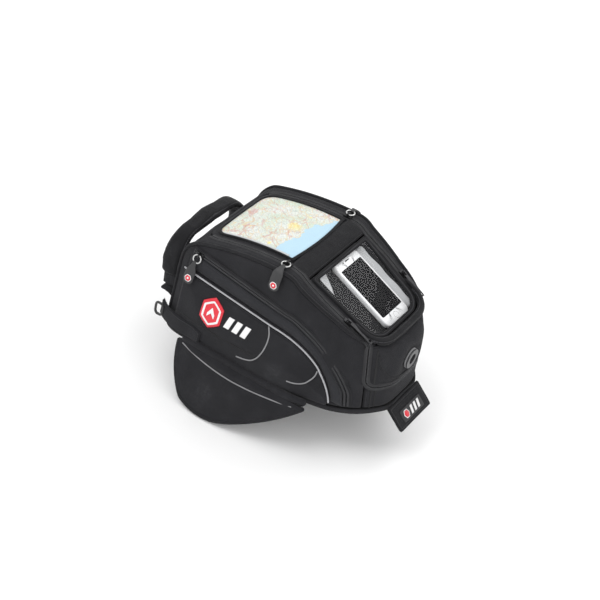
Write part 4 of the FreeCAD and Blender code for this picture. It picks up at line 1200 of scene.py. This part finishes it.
# %% Front tabs and their loops
for side, name in SIDES:
    u = np.linspace(0, 1, 50)[:, None]
    v = np.linspace(0, 1, 18)[None]
    x = -173 + 74 * u + 0 * v
    z = 13 + 24 * v + 0 * u
    z = np.where(u > 0.75, z - (v - 0.0) * 5 * smooth((u - 0.75) / 0.25), z)
    grid = on_wall(np.stack([x, z], -1), 11.2 + 2.2 * smooth((x + 152) / 20), side)
    piece = pad("front_tab_" + name, grid, 3.2, "bag", rim=2.0, wave=0.5, size=30, seed=60 + side)
    put_back(piece, "black_cordura", cordura, "front_tabs")
    w = np.linspace(0, 2 * math.pi, 64, endpoint=False)
    cx, cz = -177.5, 25.0
    ring_path = np.stack([cx + 6.2 * np.sign(np.cos(w)) * np.abs(np.cos(w)) ** 0.6,
                          np.full(64, side * 116.0),
                          cz + 10.0 * np.sign(np.sin(w)) * np.abs(np.sin(w)) ** 0.6], -1)
    ring_out = ring_path - np.array([cx, side * 116.0, cz])
    put_back(sweep("strap_ring_" + name, ring_path, ring_out, 1.8, 2.0, "bag", closed=True), "webbing",
             rubber, "front_loops")

# %% [markdown]
# ## The magnet flaps
# Each flap is a leaf of padded cloth with three flat magnets inside. It turns about the
# fold beside the base, and its free edge is bound with tape, with a grey piping higher up.

# %% Flap outline, face and edge
FLAP_FRONT, FLAP_REAR, FLAP_DROP, HANG = FRONT - 38, 84.0, 87.0, math.radians(24)
ROOT_Y, ROOT_Z = HALF + 2 + 8 + 1, 7.0
flap_edge = np.vstack([
    arc((-FLAP_FRONT, 0), (-FLAP_FRONT + 13, 0.53 * FLAP_DROP), (-FLAP_FRONT + 33, 0.89 * FLAP_DROP), 24),
    arc((-FLAP_FRONT + 33, 0.89 * FLAP_DROP), (-FLAP_FRONT + 62, FLAP_DROP), (FLAP_REAR - 103,
            0.9 * FLAP_DROP), 24)[1:],
    arc((FLAP_REAR - 103, 0.9 * FLAP_DROP), (FLAP_REAR - 58, 0.59 * FLAP_DROP), (FLAP_REAR, 0), 30)[1:]])
flap_edge = soften(even(flap_edge, 160), 3)


def hang(x, drop, off, side):
    """A place on the hanging flap: x along the bag, drop down the leaf, off from its middle plane."""
    sag = 3.0 * (drop / FLAP_DROP) ** 2
    y = ROOT_Y + drop * math.sin(HANG) + (off - sag) * math.cos(HANG)
    z = ROOT_Z - drop * math.cos(HANG) + (off - sag) * math.sin(HANG)
    return np.stack(np.broadcast_arrays(x, side * y, z), -1)


share = np.linspace(0.004, 0.996, 150)
low_line = along(flap_edge, share * distances(flap_edge)[-1])
high_line = np.stack([-FLAP_FRONT + share * (FLAP_FRONT + FLAP_REAR), np.full(150, 1.0)], -1)
leaf = between(high_line, low_line, 50)
piping_line = spline([(-122, 4), (-104, 9), (-88, 12.5), (-60, 16.5), (-33, 18), (-8, 17), (17, 14.5),
                      (45, 10.5), (68, 6)], 120)
groove = np.interp(leaf[..., 0], piping_line[:, 0], piping_line[:, 1])
puff = 2.6 + 3.4 * np.exp(-((leaf[...,
                                  1] - groove * 0.45) / (0.25 * groove + 3)) ** 2) * smooth(groove / 10)
puff = 2.6 + (puff - 2.6) * smooth((leaf[..., 1] - 1) / 9)
puff = puff + 1.6 * smooth((leaf[..., 1] - groove) / 22) * smooth((80 - leaf[..., 1]) / 20)
for side, name in SIDES:
    grid = hang(leaf[..., 0], leaf[..., 1], puff, side)
    piece = pad("flap_leaf_" + name, grid, 6.4, "flap_" + name, rim=3.0, wave=0.9, size=46,
                seed=70 + side, open_sides=("v0",),
                centre=np.array([0, 0, 0.0]))
    put_back(piece, "black_cordura", cordura_flap, "flap_" + name)
    laid("flap_edge_binding_" + name, lambda up: hang(flap_edge[:, 0], flap_edge[:, 1], up, side), 0.3, 9.0,
         3.0, 3.4, "flap_" + name, "binding", binding, "flap_binding_" + name, power=2.4, blunt=3)
    at = 2.6 + 0.8 * smooth(piping_line[:, 1] / 14)
    line = hang(piping_line[:, 0], piping_line[:, 1], at, side)
    put_back(sweep("flap_piping_" + name, line, hang(piping_line[:, 0], piping_line[:, 1], 12.0,
                                                     side) - line, 1.0, 1.0,
                   "flap_" + name, blunt=1), "reflective", grey_piping)
    x = np.linspace(-FLAP_FRONT + 2, FLAP_REAR - 2, 90)
    fold = np.stack([x, side * (124.6 - 5.0 * smooth((x - 50) / 40)), 9.2 + 0.3 * np.sin(x / 9.0)], -1)
    put_back(sweep("flap_fold_roll_" + name, fold, (0, side * 1.0, 0.0), 5.6, 5.4, "bag", 2.4, blunt=6),
             "black_cordura", cordura_flap, "flap_hems")

# %% [markdown]
# ## Padding by pressure
# A stuffed band has folds that no formula gives. Its skin is remeshed evenly, then blown
# up a little by a cloth simulation with no gravity, and no point may move more than a few
# millimetres. After it, each point looks up where it lies along the band, so the weave
# still follows the cloth.

# %% Air in a pad
def stuffed(piece, voxel, most, path, out):
    """Voxel remesh, 20 steps of cloth under pressure, moves capped at most mm; then cloth
    coordinates from the nearest point of the path."""
    even_skin = piece.modifiers.new("even", "REMESH")
    even_skin.mode, even_skin.voxel_size = "VOXEL", voxel * MM
    bake(piece)
    start = coords(piece)
    air = piece.modifiers.new("air", "CLOTH")
    air.settings.use_pressure = True
    air.settings.uniform_pressure_force = 4.0
    air.settings.tension_stiffness = 12
    air.settings.effector_weights.gravity = 0.0
    for step in range(1, 21):
        bpy.context.scene.frame_set(step)
    bake(piece)
    move = coords(piece) - start
    far = np.linalg.norm(move, axis=1, keepdims=True)
    move *= np.minimum(1, most * MM / np.maximum(far, 1e-9))
    piece.data.vertices.foreach_set("co", (start + move).astype(np.float32).ravel())
    bpy.context.scene.frame_set(1)
    finer = piece.modifiers.new("finer", "SUBSURF")
    finer.levels = finer.render_levels = 1
    bake(piece)
    points = coords(piece) / MM
    s = distances(path)
    gap = np.linalg.norm(points[:, None] - path[None], axis=2)
    k = gap.argmin(1)
    side = points - path[k]
    t = np.gradient(path, axis=0)
    t /= np.linalg.norm(t, axis=1, keepdims=True)
    across = np.cross(t[k], np.broadcast_to(out, points.shape))
    across /= np.maximum(np.linalg.norm(across, axis=1, keepdims=True), 1e-9)
    width = np.sum(side * across, 1)
    for label, values in (("cloth", (s[k] + np.sum(side * t[k], 1), width)),
                          ("seam", (np.abs(width), s[k]))):
        data = np.zeros((len(points), 3), np.float32)
        data[:, 0], data[:, 1] = values[0] * MM, values[1] * MM
        old = piece.data.attributes.get(label)
        if old:
            piece.data.attributes.remove(old)
        piece.data.attributes.new(label, "FLOAT_VECTOR", "POINT").data.foreach_set("vector", data.ravel())
    piece.data.polygons.foreach_set("use_smooth", np.ones(len(piece.data.polygons), bool))
    return piece


def bake(piece):
    """The mesh as its modifiers make it becomes the piece's own mesh."""
    made = bpy.data.meshes.new_from_object(piece.evaluated_get(bpy.context.evaluated_depsgraph_get()))
    piece.modifiers.clear()
    piece.data = made


def coords(piece):
    flat = np.empty(len(piece.data.vertices) * 3, np.float32)
    piece.data.vertices.foreach_get("co", flat)
    return flat.reshape(-1, 3).astype(float)


# %% The carry handle
HANDLE_X, HANDLE_FOOT, HANDLE_RISE, HANDLE_HALF, HANDLE_BEND, HANDLE_THICK = (
    FRONT + 21, 44.0, 90.0, HALF - 28, 49.0, 13.0)
TILT = math.radians(2)


def handle_arch(inset, n):
    """The handle's line from the front: up a leg, round a shoulder, over a low crown and down."""
    wide, bend = HANDLE_HALF - inset, HANDLE_BEND - inset
    spring = HANDLE_RISE - 1.076 * HANDLE_BEND
    half = np.vstack([
        [(-wide, 18)],
        arc((-wide, spring), (-wide + 0.231 * bend, spring + 0.639 * bend), (-wide + 0.816 * bend,
                spring + 0.983 * bend), 16),
        [(0, HANDLE_RISE - inset)]])
    full = soften(even(np.vstack([half, (half[:-1] * [-1, 1])[::-1]]), n), 3)
    x = -HANDLE_X - full[:, 1] * math.sin(TILT)
    return np.stack([x, full[:, 0], HANDLE_FOOT + full[:, 1] * math.cos(TILT)], -1)


arch = handle_arch(HANDLE_THICK / 2, 190)
middle = np.array([-HANDLE_X, 0, 60.0])
arch_out = arch - middle
arch_out[:, 0] = 0
s = distances(arch)
ends = np.minimum(s, s[-1] - s)
wide = 15.0 + 0.8 * np.sin(s / 16.0) * smooth(ends / 30)
handle = sweep("handle_sleeve_pad", arch, arch_out, 5.0, wide, "carry_handle", 3.2, 40, blunt=7)
stuffed(handle, 3.2, 2.2, arch, (1.0, 0, 0))
put_back(handle, "black_smooth", smooth_cloth, "handle_sleeve")
for side, name in SIDES:
    y = side * (HANDLE_HALF - HANDLE_THICK / 2)
    tail = spline([(-HANDLE_X, y, HANDLE_FOOT), (-HANDLE_X - 0.2, y, HANDLE_FOOT + 8), (-HANDLE_X - 0.6,
            y, HANDLE_FOOT + 20)], 24)
    put_back(sweep("handle_strap_" + name, tail, (0, side, 0), 1.7, 10.5, "carry_handle", 4.0, 24,
                   blunt=1.0),
             "webbing", webbing, "handle_webbing")
    patch_u, patch_v = np.linspace(-1, 1, 26)[:, None], np.linspace(0, 1, 30)[None]
    patch = np.stack(np.broadcast_arrays(-FRONT - 2.8 + 0 * patch_u, y + 13 * patch_u,
                                         14 + 33 * patch_v), -1)
    put_back(pad("handle_patch_" + name, patch, 2.6, "bag", rim=2, wave=0.2, seed=80), "black_cordura",
             cordura, "handle_anchors")
    arm = spline([(-FRONT - 3, y, 22), (-FRONT - 5.5, y, 30), (-FRONT - 12, y, 36.5), (-HANDLE_X + 1, y,
            38.8), (-HANDLE_X - 9, y, 39)], 40)
    put_back(sweep("handle_arm_" + name, arm, (0.3, 0, 1.0), 2.0, 9.0, "bag", 4.0, 24, blunt=1.5),
             "webbing", webbing,
             "handle_anchors")

# %% [markdown]
# ## The map and its window
# A printed chart lies on the lid under a clear sheet, and a bound frame holds the sheet
# down. All three follow the lid's crown, one just above the other.

# %% Chart, window and frame
MAP_FRONT, MAP_REAR, MAP_HALF, CORNER = LID_FRONT - 7, 11.0, LID_HALF - 11, 19.0


def map_outline(inset, n):
    """The window's outline from above: round front corners, and a back edge bowed towards the rear."""
    f, h, r = MAP_FRONT - inset, MAP_HALF - inset, MAP_REAR + inset
    c = max(CORNER - inset * 0.5, 3)
    half = np.vstack([[(-f, 0)], arc((-f, h - c), (-f + 0.293 * c, h - 0.293 * c), (-f + c, h), 10),
                      [(-r, h)],
                      arc((-r, h), (-r + 4.4, h * 0.5), (-r + 6, 0), 12)[1:-1]])
    return even(np.vstack([half, [(-r + 6, 0)], (half[1:] * [1, -1])[::-1]]), n, True)


def on_lid(xy, lift):
    t = t_at_x(xy[..., 0])
    return over(t, xy[..., 1], lid_crown(t, xy[..., 1]) + lift)


def ring_grid(outer, inner, n, lift):
    v = np.linspace(0, 1, n)[None, :, None]
    return on_lid(outer[:, None] * (1 - v) + inner[:, None] * v, lift)


def disc(name, outline_xy, lift, thick, body, rings=26):
    """A thin sheet inside an outline: the outline shrunk in even rings about its middle."""
    middle = outline_xy.mean(0)
    k = np.linspace(0.01, 1, rings)
    flat = middle + (outline_xy[:, None] - middle) * k[None, :, None]
    face, rear = on_lid(flat, lift), on_lid(flat, lift - thick)
    return closed_sheet(name, face, rear, body, [0, 1], 300)


paper = disc("chart_sheet", map_outline(1.2, 160), 0.7, 0.4, "lid")
put_back(paper, "map_paper", chart, "map_sheet")
window = disc("map_pane", map_outline(0.6, 160), 1.6, 0.5, "lid")
put_back(window, "clear_pvc", clear_pvc, "map_window")
frame_piece = pad("map_border", ring_grid(map_outline(-0.8, 240), map_outline(3.4, 240), 7, 2.9), 1.5,
                  "lid", rim=2,
                  wave=0.25, size=20, seed=90, closed=True)
put_back(frame_piece, "black_smooth", smooth_cloth, "map_frame")
strip_x = np.linspace(-MAP_FRONT + 10, -MAP_REAR - 9, 80)
strip = on_lid(np.stack(np.broadcast_arrays(strip_x[:, None], -MAP_HALF + 3.2 + 3.6 * np.linspace(0, 1,
        6)[None]), -1), 2.3)
put_back(pad("map_side_strip", strip, 0.6, "lid", rim=0.6, wave=0, seed=4), "grey_pvc", grey_vinyl)

# %% [markdown]
# ## The phone pouch
# The pouch is a lined well in the slope of the lid, with a phone in it. Its cover is a
# clear window in a cloth frame that opens towards the front. A padded roll along the
# cover's back edge and round its corners keeps out rain.

# %% The pouch's own frame of reference
DOWN = np.array([math.cos(SLOPE), 0, -math.sin(SLOPE)])
OFF = np.array([math.sin(SLOPE), 0, math.cos(SLOPE)])
POUCH = np.array([POUCH_X, 0, POUCH_Z])


def pouch(a, y, up):
    """A point a down the slope, y across and up off the lid's face."""
    a, y, up = np.broadcast_arrays(np.asarray(a, float), np.asarray(y, float), np.asarray(up, float))
    return POUCH + a[..., None] * DOWN + up[..., None] * OFF + np.stack([0 * y, y, 0 * y], -1)


def round_box(a0, a1, half_front, half_rear, r_front, r_rear, n, middle=0.0):
    """A four-sided outline in the pouch's plane, with rounded corners and a slight taper."""
    def corner(a, y, da, dy, r):
        return arc((a + da * r, y), (a + da * r * 0.293, y + dy * r * 0.293), (a, y + dy * r), 10)
    pts = np.vstack([[(a0, 0)], corner(a0, half_front, 1, -1, r_front)[::-1], corner(a1, half_rear, -1,
            -1, r_rear), [(a1, 0)]])
    full = np.vstack([pts, (pts[1:-1] * [1, -1])[::-1]]) + [0, middle]
    return even(full, n, True)


def shell_from_rings(name, rings, body):
    """A closed form from a stack of outlines of equal point count, each a (n, 3) array."""
    grid = np.stack(rings, 1)
    nu, nv = grid.shape[:2]
    number = np.arange(nu * nv).reshape(nu, nv)
    faces = [grid_faces(nu, nv, True), number[:, 0][None, ::-1], number[:, -1][None]]
    flat = grid.reshape(-1, 3)
    return mesh_piece(name, flat, faces, body, flat[:, :2], np.full((len(flat), 2), 30.0))


# %% Lined well
def shrink(outline_ay, by):
    middle = outline_ay.mean(0)
    size = (outline_ay.max(0) - outline_ay.min(0)) / 2
    return middle + (outline_ay - middle) * np.maximum((size - by) / size, 0.01)


well = round_box(0.6, 125.4, 57.4, 57.4, 12, 12, 160)
outer_rings = [pouch(*shrink(well, k).T, up) for k, up in ((57, -14.8), (20, -14.8), (6, -14.8),
                                                           (2.5, -14), (0.8, -12), (0.3, -6), (0, -0.2))]
inner_rings = [pouch(*shrink(well, k).T, up) for k, up in ((1.3, -0.2), (1.5, -6), (2.2, -11.4),
                                                           (4, -13), (7, -13.5), (20, -13.5), (57, -13.5))]
tray = shell_from_rings("pouch_well", outer_rings + inner_rings, "lid")
put_back(tray, "pouch_lining", lining, "pouch_tray")
for side, name, lo, hi in ((1, "right", 8, 118), (-1, "left", 2, 48)):
    a = np.linspace(lo, hi, 60)[:, None]
    v = np.linspace(0, 1, 12)[None]
    y = side * (56.2 - (9.5 if side > 0 else 27.0 * (1 - (a - lo) / (hi - lo))) * v)
    deep, rise = (-12.2, 10.0) if side > 0 else (-5.5, 4.5)
    fold = pouch(a, y, deep + rise * (1 - v) ** 1.5 + 0.7 * np.sin(a / 6.0 + v * 3))
    put_back(pad("well_fold_" + name, fold, 0.5, "lid", rim=0.6, wave=0.4, size=24, seed=99), "grey_pvc",
             grey_vinyl)

# %% Phone
low, high = -13.4, -5.2
PHONE_FRONT, PHONE_REAR, PHONE_HALF, PHONE_Y, PHONE_CORNER = 4, 122, 29.5, 16, 9


def phone_ring(inset, up):
    wide, bend = PHONE_HALF - inset, PHONE_CORNER - inset * 0.5
    return pouch(*round_box(PHONE_FRONT + inset, PHONE_REAR - inset, wide, wide, bend, bend, 128,
                            PHONE_Y).T, up)


body_rings = [phone_ring(i, u) for i, u in ((28, low), (2.0, low), (0.8, low + 0.4), (0.2, low + 1.4),
                                            (0, low + 2.6),
                                           (0, high - 2.6), (0.2, high - 1.2), (0.8, high - 0.3),
                                           (1.8, high), (28, high))]
put_back(shell_from_rings("phone_body", body_rings, "lid"), "phone_body", phone_white, "phone")
screen = round_box(20.0, 106.0, 25.6, 25.6, 1.2, 1.2, 96, PHONE_Y)
screen_rings = [pouch(*shrink(screen, k).T, u) for k, u in ((20, high - 0.1), (0, high - 0.1),
                                                            (0, high + 0.16), (0.2, high + 0.22),
                                                            (20, high + 0.22))]
put_back(shell_from_rings("phone_screen", screen_rings, "lid"), "phone_body", phone_glass)
w = np.linspace(0, 2 * math.pi, 48, endpoint=False)
button = pouch(114.0 + 5.0 * np.cos(w), 16 + 5.0 * np.sin(w), high + 0.12)
put_back(sweep("phone_button_ring", button, OFF, 0.2, 0.35, "lid", closed=True), "nickel", nickel)
slot_line = pouch(np.full(20, 12.0), np.linspace(11, 21, 20), high + 0.08)
put_back(sweep("phone_speaker", slot_line, OFF, 0.2, 0.9, "lid", blunt=0.9), "phone_body", phone_glass)
dot = pouch(np.linspace(12 - 1.2, 12 + 1.2, 8), np.full(8, 6.0), high + 0.08)
put_back(sweep("phone_lens", dot, OFF, 0.2, 1.2, "lid", blunt=1.2), "phone_body", phone_glass)

# %% Cover: frame, window and roll
outer = round_box(1.2, 128.0, LID_HALF - 7.2, 63.2, 5, 30, 260)
inner = round_box(9.0, 120.0, LID_HALF - 15.0, 55.0, 3, 24, 260)
v = np.linspace(0, 1, 12)[None, :, None]
flat = outer[:, None] * (1 - v) + inner[:, None] * v
cover = pouch(flat[..., 0], flat[..., 1], 3.3 + 0.5 * np.sin(v[..., 0] * math.pi))
piece = pad("pouch_cover_frame", cover, 2.8, "pouch_cover", rim=2.6, wave=0.5, size=28, seed=95,
            closed=True)
put_back(piece, "black_smooth", smooth_cloth, "pouch_frame")


def pane_lift(a, y):
    """The window bows up by 2.5 mm, with a slow wave across it and waves near the roll."""
    inside = np.clip(1 - ((a - 64) / 56) ** 2, 0, 1) * np.clip(1 - (y / 58) ** 2, 0, 1)
    return (1.6 + 2.4 * inside ** 0.7 + 0.5 * np.sin(a / 9.0 + y / 21.0) * inside
            + 0.5 * np.sin(y / 5.0) * smooth((a - 92) / 20) * inside ** 0.4)


pane_edge = round_box(7.5, 121.5, LID_HALF - 13.6, 56.4, 3, 25, 200)
middle_ay = pane_edge.mean(0)
k = np.linspace(0.01, 1, 44)
flat = middle_ay + (pane_edge[:, None] - middle_ay) * k[None, :, None]
lift = pane_lift(flat[..., 0], flat[..., 1])
top_face, under_face = pouch(flat[..., 0], flat[..., 1], lift), pouch(flat[..., 0], flat[..., 1],
        lift - 0.5)
pane = closed_sheet("pouch_pane", top_face, under_face, "pouch_cover")
put_back(pane, "clear_pvc", clear_pvc, "pouch_window")

roll_ay = [(84, -69.5), (100, -69.0), (116, -65.0), (127, -56), (133.0, -42), (134.6, -24), (135, 0),
           (134.6, 24), (133.0, 42), (127, 56), (116, 65.0), (100, 69.0), (84, 69.5)]
roll_line = spline(roll_ay, 150)
roll_up = 4.2 + 1.6 * smooth((roll_line[:, 0] - 84) / 40)
roll_path = pouch(roll_line[:, 0], roll_line[:, 1], roll_up)
s = distances(roll_path)
fat = (3.0 + 2.6 * smooth(np.minimum(s, s[-1] - s) / 60)) * (1 + 0.05 * np.sin(s / 7.0))
roll = sweep("pouch_roll_pad", roll_path, OFF, fat, fat * 1.05, "pouch_cover", 2.2, 28, blunt=6)
stuffed(roll, 2.4, 1.2, roll_path, OFF)
put_back(roll, "black_cordura", smooth_cloth, "pouch_roll")

# %% [markdown]
# ## The rear tongue
# A short tongue with one magnet hangs from the back of the base. Its printed label is
# a plain hexagon and bars, like the badge.

# %% Tongue and label
tongue_root = np.array([REAR + 1.5 + 3.5 / 2 + 0.4, 0, 4.0])
FALL = math.radians(42)
tongue_dir = np.array([math.cos(FALL), 0, -math.sin(FALL)])
tongue_off = np.array([math.sin(FALL), 0, math.cos(FALL)])


def tongue(a, y, up):
    a, y, up = np.broadcast_arrays(np.asarray(a, float), np.asarray(y, float), np.asarray(up, float))
    return tongue_root + a[..., None] * tongue_dir + up[..., None] * tongue_off + np.stack([0 * y, y,
            0 * y], -1)


u = np.linspace(0, 1, 50)[:, None]
w = np.linspace(-1, 1, 80)[None]
a = -1.6 + 39.4 * u + 0 * w
half = 42.3 - 4.0 * (1 - np.sqrt(np.clip(1 - (np.clip((a - 31) / 7.0, 0, 1)) ** 2, 0, 1)))
piece = pad("tongue_pad", tongue(a, w * half, 1.7), 3.3, "rear_tongue", rim=1.8, wave=0.3, size=26, seed=97,
            centre=np.array([150, 0, -60.0]))
put_back(piece, "black_cordura", smooth_cloth, "rear_tongue")
rings = [tongue(*(np.array([[22.0, 0.0]]) + round_box(-9, 9, 27, 27, 2, 2, 80) * k).T, up)
         for k, up in ((0.02, 1.4), (1, 1.4), (1, 2.5), (0.97, 2.8), (0.02, 2.8))]
put_back(shell_from_rings("tongue_label_patch", rings, "rear_tongue"), "label", label_black, "tongue_label")
hexa = hexagon(0, 0, 7.0, 60, 1.0)
for tag, scale, low_up, slot, material in (("ring", 1.0, 2.9, "white_print", white_print),
                                           ("fill", 0.8, 3.1, "badge_rubber", badge_red)):
    rings = [tongue(*(np.array([[22.0, -15.0]]) + hexa * k * scale).T, up) for k, up in ((0.02, 2.7),
            (1, 2.7), (1, low_up), (0.02, low_up))]
    put_back(shell_from_rings("label_hexagon_" + tag, rings, "rear_tongue"), slot, material)
for k in range(3):
    y0 = -5 + 9 * k
    bar = even(np.array([(28, y0), (16, y0 + 3), (16, y0 + 8), (28, y0 + 5)], float), 40, True)
    middle = bar.mean(0)
    rings = [tongue(*(middle + (bar - middle) * q).T, up) for q, up in ((0.02, 2.7), (1, 2.7), (1, 2.95),
            (0.02, 2.95))]
    put_back(shell_from_rings("label_bar_%d" % (k + 1), rings, "rear_tongue"), "white_print", white_print)

# %% [markdown]
# ## Zip pulls, port and inner parts
# The turned and moulded parts have their true shapes in the frame already, so they keep
# them and only take their finish.

# %% Finishes for the frame's own parts
keep = {"base_board": board, "lid_board": board, "cable_port": port_rubber, "tongue_magnet": magnet_metal,
        "flap_magnets_left": magnet_metal, "flap_magnets_right": magnet_metal}
for name in ("left", "right"):
    keep.update({"main_slider_" + name: black_metal, "rear_slider_" + name: black_metal,
                 "pocket_slider_" + name: black_metal,
                 "rear_puller_" + name: black_metal, "main_ring_" + name: nickel,
                 "pocket_ring_" + name: nickel})
for name, material in keep.items():
    nodes[name].data.materials.clear()
    nodes[name].data.materials.append(material)
print("kept", len(keep), "frame parts")


# %% [markdown]
# ## Zip tags
# Each main and pocket zip is pulled by a soft rubber tag shaped like a drop, with a red
# mark in a white ring pressed into its face. It hangs from its ring, over the edge.

# %% Drop-shaped tags
def tag(name, line, out, body, stood_for):
    """A drop: half its width grows from 3.2 to 8 mm over 15 mm and closes with a half circle."""
    s = distances(line)
    close_up = np.sqrt(np.clip(1 - np.clip((s - s[-1] + 8) / 8, 0, 1) ** 2, 0.006, 1))
    half = (3.2 + 4.8 * smooth((s - 3) / 15)) * close_up
    put_back(sweep(name, line, out, 1.5 * np.sqrt(close_up), half, body, 3.0, 28), "rubber", rubber,
             stood_for)
    k = np.searchsorted(s, s[-1] - 9)
    t = line[k + 1] - line[k - 1]
    t = t / np.linalg.norm(t)
    up = np.asarray(out, float) - np.dot(out, t) * t
    up = up / np.linalg.norm(up)
    side = np.cross(t, up)
    for label, shape, low, high, slot, material in (
            ("ring", hexagon(0, 0, 5.6, 60, 1.0, 0.5), 1.2, 1.62, "white_print", white_print),
            ("red", hexagon(0, 0, 4.5, 60, 1.0, 0.4), 1.5, 1.75, "badge_rubber", badge_red),
            ("spot", hexagon(0, 0, 1.6, 40, 1.0, 0.9), 1.6, 1.9, "white_print", white_print)):
        rings = [line[k] + shape[:, :1] * q * t + shape[:, 1:] * q * side + up * h
                 for q, h in ((0.02, low), (1, low), (1, high), (0.02, high))]
        put_back(shell_from_rings(name + "_" + label, rings, body), slot, material)


for side, name in SIDES:
    drape = spline([(-11, side * 88.6, 183.3), (-11, side * 94.5, 183.0), (-11, side * 100.5, 179.4),
                    (-11, side * 105.0, 170.5), (-11, side * 107.6, 160.0), (-11, side * 109.0, 151.0)], 70)
    tag("main_zip_tag_" + name, drape, (0, side * 0.9, 0.45), "main_pull_" + name, "main_tag_" + name)
    drape = spline([(-136.5, side * 109.0, 130.5), (-136.8, side * 112.4, 123.0), (-137.2, side * 116.0,
            113.0),
                    (-137.6, side * 118.6, 104.0), (-137.8, side * 120.2, 97.0)], 70)
    tag("pocket_zip_tag_" + name, drape, (0, side * 1.0, 0.2), "pocket_pull_" + name, "pocket_tag_" + name)

# %% [markdown]
# ## Studio
# A pale floor that runs out of sight, a broad soft light above and in front, a fill from
# the other side, and a camera at a rider's left rear, looking down.

# %% Floor and lights
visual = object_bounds()
floor_mesh = bpy.data.meshes.new("floor")
floor_z = visual[0].z - 0.001
floor_mesh.from_pydata([(-9, -9, floor_z), (9, -9, floor_z), (9, 9, floor_z), (-9, 9, floor_z)], [],
                       [(0, 1, 2, 3)])
floor = bpy.data.objects.new("studio_floor", floor_mesh)
bpy.context.scene.collection.objects.link(floor)
material, net = new_material("pale floor")
close(net, net.add("ShaderNodeBsdfPrincipled", {"Base Color": colour(0.93, 0.93, 0.93),
                                                "Roughness": 0.8}).outputs[0])
floor_mesh.materials.append(material)

world = bpy.data.worlds.new("studio")
world.use_nodes = True
world.node_tree.nodes["Background"].inputs[0].default_value = colour(1.0, 1.0, 1.0)
world.node_tree.nodes["Background"].inputs[1].default_value = 1.0
bpy.context.scene.world = world
bpy.context.scene.view_settings.view_transform = "Standard"


def lamp(name, place, aim, size, power):
    data = bpy.data.lights.new(name, "AREA")
    data.shape, data.size, data.energy = "DISK", size, power
    obj = bpy.data.objects.new(name, data)
    bpy.context.scene.collection.objects.link(obj)
    direction = Vector(aim) - Vector(place)
    obj.matrix_world = Matrix.Translation(Vector(place)) @ direction.to_track_quat("-Z",
            "Y").to_matrix().to_4x4()
    return obj


lamp("key", (-0.5, -0.9, 1.9), (0, 0, 0.08), 1.1, 12)
lamp("fill", (1.6, -1.2, 0.9), (0, 0, 0.05), 1.2, 5)
lamp("top_back", (0.4, 1.2, 1.6), (0, 0, 0.1), 1.0, 7)

# %% Camera
aim = Vector((-18.5, 0, 67)) * MM
back_dir = Vector((0.3355, -0.7152, 0.6130)).normalized()
up_dir = Vector((-0.208, 0, 0.978))
right_dir = up_dir.cross(back_dir).normalized()
true_up = back_dir.cross(right_dir)
camera_data = bpy.data.cameras.new("camera")
camera_data.lens, camera_data.sensor_width = 100.8, 36
camera = bpy.data.objects.new("camera", camera_data)
bpy.context.scene.collection.objects.link(camera)
turn = Matrix((right_dir, true_up, back_dir)).transposed().to_4x4()
camera.matrix_world = Matrix.Translation(aim + back_dir * 2.4) @ turn
bpy.context.scene.camera = camera
